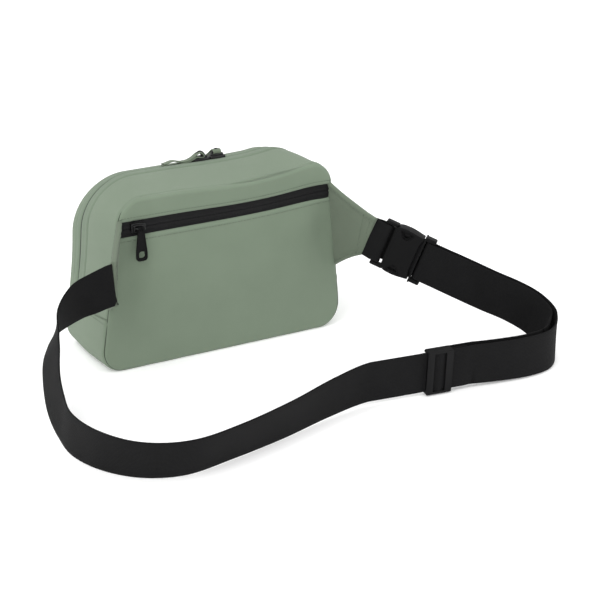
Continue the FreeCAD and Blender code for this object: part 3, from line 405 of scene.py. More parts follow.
def outline(place, inset=0.0):
    """The outline at a depth, from the middle of the base round by the right side.

    Gives the points' x and z, and the outward normals.
    """
    if place < CROWN_PLACE:
        share = (place - REAR) / (CROWN_PLACE - REAR)
        top = REAR_TOP + share * (CROWN_TOP - REAR_TOP)
        corner = REAR_CORNER + share * (CROWN_CORNER - REAR_CORNER)
        half_top = REAR_HALF_TOP + share * (CROWN_HALF_TOP - REAR_HALF_TOP)
    else:
        share = (place - CROWN_PLACE) / (FRONT - CROWN_PLACE)
        top = CROWN_TOP + share * (FRONT_TOP - CROWN_TOP)
        corner = CROWN_CORNER + share * (FRONT_CORNER - CROWN_CORNER)
        half_top = CROWN_HALF_TOP + share * (FRONT_HALF_TOP - CROWN_HALF_TOP)
    low = np.array([HALF_BASE - BASE_CORNER, BASE_CORNER])
    high = np.array([half_top - corner, top - corner])
    span = high - low
    heading = math.atan2(span[1], span[0])
    side = heading - math.acos((BASE_CORNER - corner) / math.hypot(*span))
    points = []
    normals = []

    def arc(centre, radius, start, end, count):
        for angle in np.linspace(start, end, count, endpoint=False):
            normal = (math.cos(angle), math.sin(angle))
            points.append(centre + np.array(normal) * (radius - inset))
            normals.append(normal)

    def line(start, end, normal, count):
        for share in np.linspace(0, 1, count, endpoint=False):
            points.append(np.array(start) * (1 - share) + np.array(end) * share)
            normals.append(normal)

    slant = np.array([math.cos(side), math.sin(side)])
    line((0, inset), (low[0], inset), (0, -1), 34)
    arc(low, BASE_CORNER, -math.pi / 2, side, 16)
    line(low + slant * (BASE_CORNER - inset), high + slant * (corner - inset), slant, 46)
    arc(high, corner, side, math.pi / 2, 30)
    line((high[0], top - inset), (0, top - inset), (0, 1), 34)
    points.append(np.array((0, top - inset)))
    normals.append((0, 1))
    right = np.array(points)
    out = np.array(normals)
    left = right[-2:0:-1] * (-1, 1)
    left_out = out[-2:0:-1] * (-1, 1)
    return np.concatenate([right, left]), np.concatenate([out, left_out])


def half_width_at(height, place):
    """Half the bag's width at heights, at a depth, before it settles."""
    points, _ = outline(place, PANEL_INSET)
    side = points[:len(points) // 2 + 1]
    corner = np.argmax(side[:, 0])
    rising = side[corner:]
    falling = side[:corner + 1]
    upper = np.interp(height, rising[:, 1], rising[:, 0])
    lower = np.interp(height, falling[:, 1], falling[:, 0])
    return np.where(height < side[corner, 1], lower, upper)


def roll(distance, width):
    """How far cloth has turned in, 1 at a seam and 0 from width onward."""
    share = np.clip(distance / width, 0, 1)
    return 1 - np.sqrt(np.clip(1 - (1 - share) ** 2, 0, 1))


def side_profile(place, height, run):
    """How far the side strip stands out from its drawn surface, in metres."""
    out = 1.6 * np.cos((place - REAR) / DEPTH * math.pi - math.pi / 2) ** 2
    out = out - 2.1 * roll(place - REAR - 1.4 * MM, 2.4 * MM)
    out = out - 2.1 * roll(FRONT - place - 1.2 * MM, 2.6 * MM)
    above = np.clip((height - JOIN_HEIGHT) / (3 * MM), 0, 1)
    gap = np.abs(place - MAIN_ZIP)
    lips = -1.5 * roll(gap - 0.8 * MM, 1.8 * MM) + 0.5 * bump_at(gap, 5.0 * MM, 4 * MM)
    flange = -0.7 * bump_at(place, FLANGE_REAR, 0.8 * MM)
    flange = flange + 0.5 * bump_at(place, FLANGE_REAR + 2.2 * MM, 1.6 * MM)
    flange = flange - 0.7 * bump_at(place, FLANGE_FRONT, 0.8 * MM)
    out = out + above * (lips + flange)
    out = out - 1.0 * bump_at(height, JOIN_HEIGHT, 0.9 * MM)
    out = out + 0.6 * bump_at(height, JOIN_HEIGHT - 3 * MM, 2.4 * MM)
    pucker = np.sin(run / (5.3 * MM)) * bump_at(place, REAR + 4 * MM, 4 * MM)
    return (out + 0.22 * pucker) * MM


def make_sides():
    """The strip round the bag: base, sides and top, with its seams and the zip's two lips."""
    fine = np.array([0, 0.4, 0.8, 1.3, 2, 3, 4.5, 6.5, 9]) * MM
    stations = [REAR + 1.4 * MM + d for d in fine]
    stations += list(np.linspace(REAR + 12 * MM, FLANGE_REAR - 3 * MM, 12))
    stations += [FLANGE_REAR + d * MM for d in (-1.4, -0.7, 0, 0.7, 1.5, 2.6, 4)]
    stations += list(np.linspace(FLANGE_REAR + 6 * MM, MAIN_ZIP - 4 * MM, 4))
    near = [3.4, 2.6, 2.0, 1.6, 1.25, 1.0, 0.8]
    stations += [MAIN_ZIP - d * MM for d in near] + [MAIN_ZIP + d * MM for d in near[::-1]]
    stations += [MAIN_ZIP + d * MM for d in (4, 5.4)]
    stations += [FLANGE_FRONT + d * MM for d in (-1.4, -0.7, 0, 0.7, 1.5)]
    stations += [FRONT - 1.2 * MM - d for d in fine[::-1]]
    stations = sorted(stations)
    rows = []
    for place in stations:
        points, normals = outline(place)
        run = run_along(points)
        out = side_profile(place, points[:, 1], run)
        out = np.where(normals[:, 1] < -0.8, np.minimum(out, 0), out)
        row = np.zeros((len(points), 3))
        row[:, 0] = points[:, 0] + normals[:, 0] * out
        row[:, 1] = place
        row[:, 2] = points[:, 1] + normals[:, 1] * out
        from_seam = min(place - REAR, FRONT - place) / (16 * MM)
        soft = dents(row) * 0.7 * MM * min(1, from_seam)
        row[:, 0] += normals[:, 0] * soft
        row[:, 2] += normals[:, 1] * soft * (normals[:, 1] > -0.8)
        rows.append(row)
    # the seam allowances turn in behind both panels
    for index, inward in ((0, 1), (-1, -1)):
        points, normals = outline(stations[index])
        for depth, drop in ((1.2, 4.2), (3.0, 4.6)):
            row = np.zeros((len(points), 3))
            row[:, 0] = points[:, 0] - normals[:, 0] * drop * MM
            row[:, 1] = stations[index] + inward * depth * MM
            row[:, 2] = points[:, 1] - normals[:, 1] * drop * MM
            rows.insert(0, row) if index == 0 else rows.append(row)
    grid = settle(np.array(rows))
    return np.concatenate([grid, grid[:, :1]], axis=1)


def panel_grid(low, high, place, rows, columns=110):
    """A flat grid that fills the outline between two heights."""
    ease = (1 - np.cos(np.linspace(0, math.pi, rows))) / 2
    heights = low + (high - low) * ease
    across = np.linspace(-1, 1, columns)
    across = across * (1 + 0.08 * (1 - across ** 2))
    grid = np.zeros((rows, columns, 3))
    half = half_width_at(heights, place)
    grid[..., 0] = half[:, None] * across[None, :]
    grid[..., 1] = place
    grid[..., 2] = heights[:, None]
    return grid


def edge_distance(points, place):
    """Distance from points in a panel to the outline round it."""
    rim, _ = outline(place, PANEL_INSET)
    flat = points.reshape(-1, 3)[:, [0, 2]]
    leg = np.roll(rim, -1, axis=0) - rim
    best = np.full(len(flat), 1.0)
    for origin, step in zip(rim, leg):
        length = step @ step
        if length < 1e-12:
            continue
        share = np.clip((flat - origin) @ step / length, 0, 1)
        best = np.minimum(best, np.linalg.norm(flat - origin - share[:, None] * step, axis=1))
    return best.reshape(points.shape[:-1])


def zip_edges(x):
    """Heights of the pocket zip's lower and upper cloth edges along the back."""
    share = x / HALF_BASE
    middle = ZIP_MIDDLE + 0.9 * MM * share
    half = (7.4 - 0.5 * share) * MM
    bow = 0.8 * MM * (1 - share ** 2)
    return middle - half - bow, middle + half - bow * 0.5


def shape_back(grid):
    """The back panels' relief: rolled seams, a soft bulge, and hollows beside the wings."""
    x, z = grid[..., 0], grid[..., 2]
    inside = edge_distance(grid, REAR)
    belly = np.clip(z / ZIP_LOW, 0, 1)
    bulge = 3.4 * np.sin(belly * math.pi) ** 1.2 * np.clip(1 - (x / HALF_BASE) ** 4, 0, 1)
    hollow = 2.8 * bump_at(x, -94 * MM, 12 * MM) * bump_at(z, 84 * MM, 34 * MM)
    hollow += 2.4 * bump_at(x, 97 * MM, 11 * MM) * bump_at(z, 98 * MM, 30 * MM)
    grid[..., 1] += (2.8 * roll(inside, 2.4 * MM) - bulge + hollow) * MM
    grid[..., 1] += dents(grid) * 0.7 * MM * np.clip(inside / (12 * MM), 0, 1) * (
        1 - 0.8 * bump_at(z, ZIP_MIDDLE, 14 * MM))
    return grid


def make_back():
    """The panel below the pocket zip and the yoke above it."""
    lower = panel_grid(PANEL_INSET, ZIP_LOW, REAR, 84)
    low_edge, _ = zip_edges(lower[..., 0])
    lower[..., 2] *= 1 + (low_edge / ZIP_LOW - 1) * (lower[..., 2] / ZIP_LOW) ** 2
    shape_back(lower)
    fold = roll(low_edge - lower[..., 2], 1.6 * MM)
    pucker = np.sin(lower[..., 0] / (1.15 * MM)) * bump_at(lower[..., 2], low_edge - 3 * MM,
                                                          2.2 * MM)
    lower[..., 1] += (1.6 * fold + 0.14 * pucker) * MM

    yoke = panel_grid(ZIP_HIGH, REAR_TOP - PANEL_INSET, REAR, 34)
    _, high_edge = zip_edges(yoke[..., 0])
    share = 1 - (yoke[..., 2] - ZIP_HIGH) / (REAR_TOP - ZIP_HIGH)
    yoke[..., 2] += (high_edge - ZIP_HIGH) * share
    inside = edge_distance(yoke, REAR)
    yoke[..., 1] += (2.8 * roll(inside, 2.4 * MM) - 0.9 * (1 - share)) * MM
    yoke[..., 1] += dents(yoke) * 0.3 * MM
    yoke[..., 1] += (1.6 * roll(yoke[..., 2] - high_edge, 1.6 * MM)) * MM
    return settle(lower), settle(yoke)


def make_front():
    grid = panel_grid(PANEL_INSET, FRONT_TOP - PANEL_INSET, FRONT, 90)
    inside = edge_distance(grid, FRONT)
    bulge = 5.0 * (1 - np.exp(-inside / (28 * MM)))
    grid[..., 1] += (bulge - 2.6 * roll(inside, 3.6 * MM)) * MM
    grid[..., 1] += dents(grid) * 0.9 * MM * np.clip(inside / (12 * MM), 0, 1)
    return settle(grid)


def split_by_height(grid, height):
    """The strip's faces below and above a height, with the vertices that they share kept."""
    rows, columns, _ = grid.shape
    uvs = grid_uvs(grid)
    flat = grid.reshape(-1, 3)
    faces = grid_faces(rows, columns)
    lower = [f for f in faces if max(flat[list(f), 2]) <= height]
    chosen = set(lower)
    upper = [f for f in faces if f not in chosen]
    return flat, uvs, lower, upper


def pick(name, flat, uvs, faces):
    """A piece made of some of a grid's faces."""
    used = sorted({index for face in faces for index in face})
    place = {index: k for k, index in enumerate(used)}
    return mesh_piece(name, flat[used], [tuple(place[i] for i in f) for f in faces], uvs[used])


def make_shell():
    grid = make_sides()
    rows, columns, _ = grid.shape
    stations = grid[:, 0, 1]
    zip_row = int(np.argmin(np.abs(stations - MAIN_ZIP + 0.8 * MM)))
    rear_flange = int(np.argmin(np.abs(stations - FLANGE_REAR)))
    front_flange = int(np.argmin(np.abs(stations - FLANGE_FRONT)))
    flat, uvs, lower, upper = split_by_height(grid, JOIN_HEIGHT + 0.5 * MM)
    piece = thicken(pick("canvas_base", flat, uvs, lower), CANVAS_THICKNESS)
    finish_piece(piece, "bag", CANVAS, "canvas", "gusset_bottom")
    bands = [("canvas_top_rear", 0, rear_flange, CANVAS, "canvas",
              ["gusset_rear", "seam_binding_rear"]),
             ("zip_lip_rear", rear_flange, zip_row, FLANGE, "green_zip_tape",
              ["main_tape_rear"]),
             ("zip_lip_front", zip_row + 1, front_flange, FLANGE, "green_zip_tape",
              ["main_tape_front"]),
             ("canvas_top_front", front_flange, rows - 1, CANVAS, "canvas",
              ["gusset_front", "seam_binding_front"])]
    for name, first, last, material, slot, nodes in bands:
        faces = [f for f in upper if first <= f[0] // columns < last]
        piece = thicken(pick(name, flat, uvs, faces), 0.7 * MM)
        finish_piece(piece, "bag", material, slot, *nodes)
    lower, yoke = make_back()
    for name, panel, offset, node in (("canvas_back", lower, 1.0, "back_panel"),
                                      ("canvas_yoke", yoke, 1.0, "back_yoke"),
                                      ("canvas_front", make_front(), -1.0, "front_panel")):
        piece = thicken(grid_piece(name, panel), CANVAS_THICKNESS, offset)
        finish_piece(piece, "bag", CANVAS, "canvas", node)


# ---------------------------------------------------------------- webbing, wings and sewing

def axes(heading, lean):
    """Webbing's width direction and outward face where it runs along a heading."""
    outward = np.cross(heading, (0, 0, 1))
    outward /= np.linalg.norm(outward)
    upright = np.cross(outward, heading)
    width = upright * math.cos(math.radians(lean)) + outward * math.sin(math.radians(lean))
    return width, np.cross(heading, width)


def frame_matrix(origin, along, width, out):
    turn = Matrix([along, width, out]).transposed().to_4x4()
    return Matrix.Translation(Vector(origin)) @ turn


def buckle_matrix():
    """Local X from the right wing to the belt, Y up across it, Z towards the waist."""
    level = math.cos(BUCKLE_SLOPE)
    along = np.array([level * math.cos(BUCKLE_TURN), level * math.sin(BUCKLE_TURN),
                      -math.sin(BUCKLE_SLOPE)])
    width, outward = axes(-along, 0)
    return frame_matrix(RIGHT_TIP, along, width, -outward)


def glide_matrix():
    """Local X along the belt, Y up across it, Z away from the waist."""
    along = np.array([math.cos(GLIDE_HEADING), math.sin(GLIDE_HEADING), 0])
    width, outward = axes(along, GLIDE_LEAN)
    return frame_matrix(GLIDE_CENTRE, along, width, outward)


def spot(matrix, x, y=0.0, z=0.0):
    """A local point given in millimetres, as world metres."""
    return np.array(matrix @ Vector((x * MM, y * MM, z * MM)))


def smooth_route(points, start=None, end=None, steps=8):
    """A Catmull-Rom curve through x, y, z and lean, with given headings at its ends."""
    points = [np.array(p, float) for p in points]

    def beyond(tip, neighbour, heading):
        if heading is None:
            return 2 * tip - neighbour
        reach = np.linalg.norm(tip[:3] - neighbour[:3])
        return tip + np.append(np.array(heading) * reach, 0)

    row = [beyond(points[0], points[1], start)] + points + [beyond(points[-1], points[-2], end)]
    curve = []
    for p0, p1, p2, p3 in zip(row, row[1:], row[2:], row[3:]):
        for t in np.arange(steps) / steps:
            curve.append(0.5 * (2 * p1 + (p2 - p0) * t + (2 * p0 - 5 * p1 + 4 * p2 - p3) * t ** 2
                                + (3 * p1 - p0 - 3 * p2 + p3) * t ** 3))
    curve.append(points[-1])
    return curve


def strip_grid(centres, widths, normals, half_thick, columns=12):
    """A closed band: rows along the centres, columns round its section.

    widths are vectors from the middle to an edge. Gives the grid, and each column's place
    across (-1 to 1) and its side (1, 0 or -1).
    """
    span = np.linalg.norm(widths, axis=1).mean()
    lip = half_thick / span
    flat = np.linspace(-1 + lip, 1 - lip, columns)
    across = np.concatenate([flat, [1 - lip * 0.3, 1, 1 - lip * 0.3], flat[::-1],
                             [-1 + lip * 0.3, -1, -1 + lip * 0.3]])
    side = np.concatenate([np.ones(columns), [0.7, 0, -0.7], -np.ones(columns), [-0.7, 0, 0.7]])
    grid = (centres[:, None] + widths[:, None] * across[None, :, None]
            + normals[:, None] * side[None, :, None] * half_thick)
    return grid, across, side


def strip_piece(name, grid, across, half_width):
    """A closed band with ends, and UVs in millimetres along and across it."""
    rows, columns, _ = grid.shape
    middle = grid.mean(axis=1)
    run = run_along(middle)
    uvs = np.zeros((rows, columns, 2))
    uvs[..., 0] = across[None, :] * half_width / MM
    uvs[..., 1] = run[:, None] / MM
    faces = grid_faces(rows, columns, wrap=True)
    faces.append(tuple(range(columns))[::-1])
    faces.append(tuple((rows - 1) * columns + k for k in range(columns)))
    return mesh_piece(name, grid.reshape(-1, 3), faces, uvs.reshape(-1, 2))


def webbing_piece(name, centres, widths, normals):
    half = WEBBING_WIDTH / 2
    centres, normals = np.array(centres), np.array(normals)
    grid, across, _ = strip_grid(centres, np.array(widths) * half, normals, WEBBING / 2)
    piece = strip_piece(name, grid, across, half)
    for polygon in piece.data.polygons[-2:]:
        polygon.use_smooth = False
    return piece


def headings_of(centres, start=None, end=None):
    centres = np.array(centres)
    steps = np.gradient(centres, axis=0)
    if start is not None:
        steps[0] = start
    if end is not None:
        steps[-1] = end
    return steps / np.linalg.norm(steps, axis=1)[:, None]


def bar_arc(matrix, centre, radius, first, last, count=14):
    """Stations of webbing that turns round a bar: centres, widths and normals."""
    centres, widths, normals = [], [], []
    width = column(matrix, 1)
    for angle in np.radians(np.linspace(first, last, count)):
        out = column(matrix, 0) * math.cos(angle) + column(matrix, 2) * math.sin(angle)
        centres.append(spot(matrix, centre[0], 0, centre[1]) + out * radius * MM)
        widths.append(width)
        normals.append(out)
    return centres, widths, normals


def local_run(matrix, start, end, z, normal_sign, count=6):
    """Stations of straight webbing along a frame's X."""
    normal = column(matrix, 2) * normal_sign
    width = column(matrix, 1)
    places = np.linspace(start, end, count)
    return ([spot(matrix, x, 0, z) for x in places], [width] * count, [normal] * count)


def turn_stations(buckle, glide):
    """The outer ply between the tri-glide and the buckle: centres, widths and normals."""
    straight = column(glide, 0)
    along = column(buckle, 0)
    points = [tuple(spot(glide, 34) / MM) + (GLIDE_LEAN,)] + TURN_ROUTE
    points.append(tuple(spot(buckle, MALE_BAR + 20, 0, -BAR_TURN) / MM) + (0,))
    curve = np.array(smooth_route(points, straight, -along))
    centres = curve[:, :3] * MM
    headings = headings_of(centres, straight, -along)
    pairs = [axes(h, lean) for h, lean in zip(headings, curve[:, 3])]
    return list(centres), [p[0] for p in pairs], [p[1] for p in pairs]


def make_belt(buckle, glide):
    """The waist belt: one long ply, the outer ply's turn, the fold and the inner ply."""
    straight = column(glide, 0)
    points = LONG_ROUTE + [tuple(spot(glide, -64) / MM) + (GLIDE_LEAN,)]
    curve = np.array(smooth_route(points, None, straight))
    centres = list(curve[:, :3] * MM)
    headings = headings_of(centres, LEFT_HEADING, straight)
    pairs = [axes(h, lean) for h, lean in zip(headings, curve[:, 3])]
    widths, normals = [p[0] for p in pairs], [p[1] for p in pairs]

    # over the tri-glide's sewn end the ply lifts a little and steps down past the tail
    out = column(glide, 2)
    for x in np.linspace(-60, 32, 62):
        lift = 2.1 * bump_at(x, 0, 3.9) ** 0.8 + 0.55 / (1 + math.exp((x - 27) / 0.5)) * (x > -13)
        lift -= 0.35 * bump_at(x, -14, 2.4)
        centres.append(spot(glide, x, 0, lift))
        widths.append(column(glide, 1))
        normals.append(out)
    turn = turn_stations(buckle, glide)
    inner = [], [], []
    for centre, width, normal in zip(*[part[::-1] for part in turn]):
        if centre[1] < -0.215 and centre[0] < 0.222:
            break
        inner[0].append(centre - normal * BAR_PITCH)
        inner[1].append(width)
        inner[2].append(-normal)
    parts = [(centres, widths, normals), turn,
             local_run(buckle, 68, MALE_BAR + 1, -BAR_TURN, -1),
             bar_arc(buckle, (MALE_BAR, 0), BAR_TURN, -90, -270),
             local_run(buckle, MALE_BAR + 1, 68, BAR_TURN, 1), inner]
    piece = webbing_piece("waist_belt", *gather(parts))
    finish_piece(piece, None, WEB, "webbing", "belt_long", "belt_outer_run", "belt_bar_fold",
                 "belt_inner_run")
    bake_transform(piece)
    return turn


def make_belt_end(glide, turn):
    """The inner ply's last stretch, its fold round the centre bar and the sewn tail."""
    stations = [], [], []
    for centre, width, normal in zip(*turn):
        if centre[0] > 0.226 or centre[1] > -0.2:
            break
        stations[0].insert(0, centre - normal * BAR_PITCH)
        stations[1].insert(0, width)
        stations[2].insert(0, -normal)
    fold = -BAR_PITCH + GLIDE_PITCH / 2
    parts = [stations, local_run(glide, 30, 1, -BAR_PITCH / MM, -1, 8),
             bar_arc(glide, (0, fold / MM), GLIDE_TURN, -90, -270),
             local_run(glide, 1, 27, (fold + GLIDE_PITCH / 2) / MM, 1, 8)]
    piece = webbing_piece("belt_end", *gather(parts))
    finish_piece(piece, None, WEB, "webbing", "belt_end_fold")
    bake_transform(piece)


def make_belt_short(buckle):
    """The short webbing from the right wing round the female half's bar and back."""
    out = column(buckle, 2)
    legs = {}
    for sign in (-1, 1):
        legs[sign] = local_run(buckle, -0.8, FEMALE_BAR - 1, 0, sign, 14)
        for k, x in enumerate(np.linspace(-0.8, FEMALE_BAR - 1, 14)):
            share = min(1, max(0, (x + 1) / 9))
            apart = 1.0 + (BAR_TURN - 1.0) * share ** 2 * (3 - 2 * share)
            legs[sign][0][k] = legs[sign][0][k] + out * sign * apart * MM
    parts = [legs[-1], bar_arc(buckle, (FEMALE_BAR, 0), BAR_TURN, -90, 90),
             [p[::-1] for p in legs[1]]]
    finish_piece(webbing_piece("belt_short_loop", *gather(parts)), "bag", WEB, "webbing",
                 "belt_short")


def make_wing(name, sign, tip, slope, node):
    """A doubled cloth wing: hemmed along both edges, sewn flat at the webbing."""
    rows = 46
    ends = []
    for height in (WING_LOW, WING_HIGH):
        half = float(half_width_at(np.array([height]), REAR)[0])
        ends.append(settle(np.array([sign * (half - 1 * MM), REAR + 1.6 * MM, height])))
    root_low, root_high = ends
    run = np.array([tip[0] - (root_low[0] + root_high[0]) / 2, tip[1] - REAR, 0])
    outward = run / np.linalg.norm(run)
    lift = np.array([0, 0, math.cos(slope)]) + outward * math.sin(slope)
    reach = WEBBING_WIDTH / 2 + 1.2 * MM
    tip_low, tip_high = tip - lift * reach, tip + lift * reach
    share = np.linspace(0, 1, rows)[:, None]
    waist = 1.8 * MM * np.sin(share * math.pi)
    up = np.array([0, 0, 1])
    lower = root_low * (1 - share) + tip_low * share + up * waist
    upper = root_high * (1 - share) + tip_high * share - up * waist
    centres, widths = (lower + upper) / 2, (upper - lower) / 2
    across = np.cross(outward, up) * sign
    normals = np.repeat(across[None], rows, axis=0)
    grid, place, side = strip_grid(centres, widths, normals, 1.7 * MM, columns=44)
    half = np.linalg.norm(widths, axis=1)[:, None]
    edge = half * (1 - np.abs(place))[None, :]
    along = np.linspace(0, np.linalg.norm(run), rows)[:, None]
    left = along[-1] - along
    hem = 0.55 * bump_at(edge, 2.6 * MM, 2.0 * MM) - 0.5 * bump_at(edge, 5.6 * MM, 0.7 * MM)
    puff = 1.2 * np.clip(edge / (14 * MM), 0, 1) * np.sin(share * math.pi) ** 0.7
    seam = -0.7 * bump_at(left, 3.4 * MM, 0.8 * MM) - 0.5 * bump_at(left, 9 * MM, 0.7 * MM)
    ripple = 0.18 * np.sin(along / (0.9 * MM)) * bump_at(edge, 4.0 * MM, 2 * MM)
    wave = 1.1 * np.sin(along / (7.5 * MM) + place[None, :] * 1.3) * np.clip(
        np.abs(place)[None, :] - 0.55, 0, 1) * np.sin(share * math.pi)
    relief = (hem + puff + seam + ripple) * (1 - share ** 9) + 0.75 * share ** 9
    relief = relief * side[None, :] + wave
    grid = grid + across[None, None] * (relief * MM)[..., None]
    piece = strip_piece(name, grid, place, 30 * MM)
    # the wing's darker canvas is painted shade
    finish_piece(piece, "bag", WING_CANVAS_SHADED, "canvas", node)
    rows_of_thread = []
    for start, other in ((lower, upper), (upper, lower)):
        inner = other - start
        inner /= np.linalg.norm(inner, axis=1)[:, None]
        rows_of_thread.append(start + inner * (4.4 * MM))
    for back in (3.4 * MM, 9 * MM):
        base = 1 - back / along[-1]
        rows_of_thread.append(np.linspace(root_low * (1 - base) + tip_low * base,
                                          root_high * (1 - base) + tip_high * base, 20)[1:-1])
    for face in (1, -1):
        for path in rows_of_thread:
            sew(piece, path + across * face * 6 * MM, 3.0)


def sew_seams():
    """Rows of stitches beside the pocket zip and under the joins of the side strip."""
    half = HALF_BASE - 9 * MM
    x = np.linspace(-half, half, 60)
    low, high = zip_edges(x)
    for name, height in (("canvas_back", low - 2.6 * MM), ("canvas_yoke", high + 2.6 * MM)):
        path = np.stack([x, np.full(60, REAR - 4 * MM), height], axis=1)
        sew(bpy.data.objects[name], settle(path), 2.9)
    depth = np.linspace(REAR + 4 * MM, FRONT - 4 * MM, 40)
    for sign in (-1, 1):
        path = np.stack([np.full(40, sign * (HALF_BASE + 2 * MM)), depth,
                         np.full(40, JOIN_HEIGHT - 4.2 * MM)], axis=1)
        sew(bpy.data.objects["canvas_base"], settle(path), 2.9)


STITCHES = []
STITCH_RADIUS = 0.26


def sew(piece, path, pitch):
    """Queue a row of stitches: a path near a piece's surface is laid down on it."""
    path = np.array(path)
    run = run_along(path)
    places = np.arange(pitch / 2, run[-1] / MM, pitch) * MM
    seeds = resample(places, run, path)
    ahead = resample(places + 0.3 * MM, run, path)
    for seed, following in zip(seeds, ahead):
        _, place, normal, _ = piece.closest_point_on_mesh(Vector(seed))
        heading = Vector(following - seed)
        heading = (heading - normal * heading.dot(normal)).normalized()
        STITCHES.append((place + normal * STITCH_RADIUS * MM * 0.3, heading, normal,
                         pitch * 0.36))


def make_threads():
    """All the stitches, short and raised, as one piece."""
    vertices, faces = [], []
    for place, heading, normal, reach in STITCHES:
        side = heading.cross(normal)
        first = len(vertices)
        for shift, girth in ((-1, 0.45), (-0.6, 0.9), (0.6, 0.9), (1, 0.45)):
            for angle in range(6):
                angle *= math.pi / 3
                ring = side * math.cos(angle) + normal * math.sin(angle)
                vertices.append(place + (heading * shift * reach
                                         + ring * girth * STITCH_RADIUS) * MM)
        faces += [tuple(first + k for k in face) for face in grid_faces(4, 6, wrap=True)]
        faces.append(tuple(first + k for k in range(6)))
        faces.append(tuple(first + 18 + k for k in range(6))[::-1])
    piece = mesh_piece("stitches_green_thread", vertices, faces)
    finish_piece(piece, "bag", GREEN_THREAD, "canvas")


def make_painted_seam_shadows():
    """A dark green rod round each panel's seam, where the cloth turns in: painted shade along the
    seam groove.
    """
    pieces = []
    for place, inset in ((REAR + 1.1 * MM, 0.7 * MM), (FRONT - 1.0 * MM, 0.7 * MM)):
        points, _ = outline(place, inset)
        path = settle(np.stack([points[:, 0], np.full(len(points), place), points[:, 1]], axis=1))
        path[:, 2] = np.maximum(path[:, 2], 0.9 * MM)
        pieces.append(rod(path / MM, 0.6, Matrix(), closed=True))
    finish_piece(join("seam_crease_painted_shade", pieces), "bag", SEAM_SHADE_PAINT, "canvas")


# ---------------------------------------------------------------- zips

def make_pocket_zip():
    """The black zip across the back: tape with fine ribs and a parting line down the middle."""
    columns, rows = 420, 27
    half = float(half_width_at(np.array([ZIP_MIDDLE]), REAR)[0]) - 1.2 * MM
    x = np.linspace(-half, half, columns)
    low, high = zip_edges(x)
    share = np.linspace(0, 1, rows)[:, None]
    grid = np.zeros((rows, columns, 3))
    grid[..., 0] = x
    grid[..., 2] = (low - 2.4 * MM) * (1 - share) + (high + 2.4 * MM) * share
    middle = (low + high) / 2
    gap = np.abs(grid[..., 2] - middle) / MM
    ridge = 0.85 * bump_at(gap, 1.7, 1.5) - 0.5 * bump_at(gap, 0, 0.45)
    rib = 0.10 * np.sin(x / MM * 2 * math.pi / 1.6) * bump_at(gap, 1.9, 1.9)
    ends = 1.6 * roll(half - np.abs(x), 4 * MM)
    grid[..., 1] = REAR + (1.5 - ridge - rib + ends) * MM
    piece = thicken(grid_piece("pocket_zip_tape", settle(grid)), 0.7 * MM, 1.0)
    finish_piece(piece, "bag", BLACK_TAPE, "black_zip_tape", "pocket_tape_upper",
                 "pocket_tape_lower")


def make_pocket_lining():
    """The soft bag that hangs inside the back panel, behind the pocket zip."""
    heights = np.linspace(30, 141, 34) * MM
    centres = np.stack([heights * 0, heights * 0 + REAR + 7.6 * MM, heights], axis=1)
    widths = np.zeros((34, 3))
    widths[:, 0] = 94 * MM
    normals = np.repeat([[0.0, -1.0, 0.0]], 34, axis=0)
    grid, across, _ = strip_grid(centres, widths, normals, 2.6 * MM, columns=30)
    ends = np.clip((heights - heights[0]) / (10 * MM), 0, 1)[:, None]
    closed = 0.35 + 0.65 * ends ** 0.5 * np.sqrt(np.clip(1 - across ** 4, 0, 1))[None, :]
    grid[..., 1] = REAR + 7.6 * MM + (grid[..., 1] - REAR - 7.6 * MM) * closed
    grid[..., 1] += dents(grid) * 0.5 * MM
    finish_piece(strip_piece("pocket_lining", settle(grid), across, 94 * MM), "bag", LINING,
                 "lining", "pocket_bag")


def make_main_coils():
    """The two coils under the parting of the main zip, and the stops at their ends."""
    points, normals = outline(MAIN_ZIP, 0.1 * MM)
    half = len(points) // 2 + 1
    right = [k for k in range(half) if points[k][1] > JOIN_HEIGHT]
    order = right + [k for k in range(half, len(points)) if points[k][1] > JOIN_HEIGHT]
    path, outs = points[order], normals[order]
    run = run_along(path)
    places = np.arange(0, run[-1], 0.5 * MM)
    flat = resample(places, run, path)
    out = resample(places, run, outs)
    from_end = np.minimum(places, places[-1] - places)
    tooth = 0.15 * np.sin(places / (1.5 * MM) * 2 * math.pi)
    across = np.linspace(-3.2, 3.2, 15)
    dome = 0.1 - 0.9 * np.clip(np.abs(across) - 0.8, 0, None) / 0.9
    grid = np.zeros((len(places), len(across), 3))
    rise = (dome[None, :] + tooth[:, None] * (np.abs(across) < 2.8)[None, :]) * MM
    grid[..., 0] = flat[:, :1] + out[:, :1] * rise
    grid[..., 1] = MAIN_ZIP + across * MM
    grid[..., 2] = flat[:, 1:] + out[:, 1:] * rise
    grid = settle(grid)
    inside = from_end > 4 * MM
    piece = thicken(grid_piece("main_coils", grid[inside]), 1.0 * MM, 1.0)
    finish_piece(piece, "bag", COIL, "zip_coil", "main_zip_coils")
    ends = [thicken(grid_piece("stop", grid[9 * first:][:9] if first == 0 else grid[-9:]),
                    1.8 * MM, 1.0) for first in (0, 1)]
    finish_piece(join("main_stops", ends), "bag", METAL, "zip_coil", "main_zip_stops")


# ---------------------------------------------------------------- hard parts

def moulding(outlines, low, high, bevel, matrix):
    """A flat moulding with rounded edges: outlines in millimetres, holes after the rim."""
    curve = bpy.data.curves.new("moulding", "CURVE")
    curve.dimensions = "2D"
    curve.fill_mode = "BOTH"
    curve.extrude = ((high - low) / 2 - bevel) * MM
    curve.bevel_depth = bevel * MM
    curve.bevel_resolution = 3
    curve.offset = -bevel * MM
    for points in outlines:
        line = curve.splines.new("POLY")
        line.points.add(len(points) - 1)
        line.use_cyclic_u = True
        for point, (x, y) in zip(line.points, points):
            point.co = (x * MM, y * MM, 0, 1)
    return from_curve(curve, matrix @ Matrix.Translation((0, 0, (low + high) / 2 * MM)))


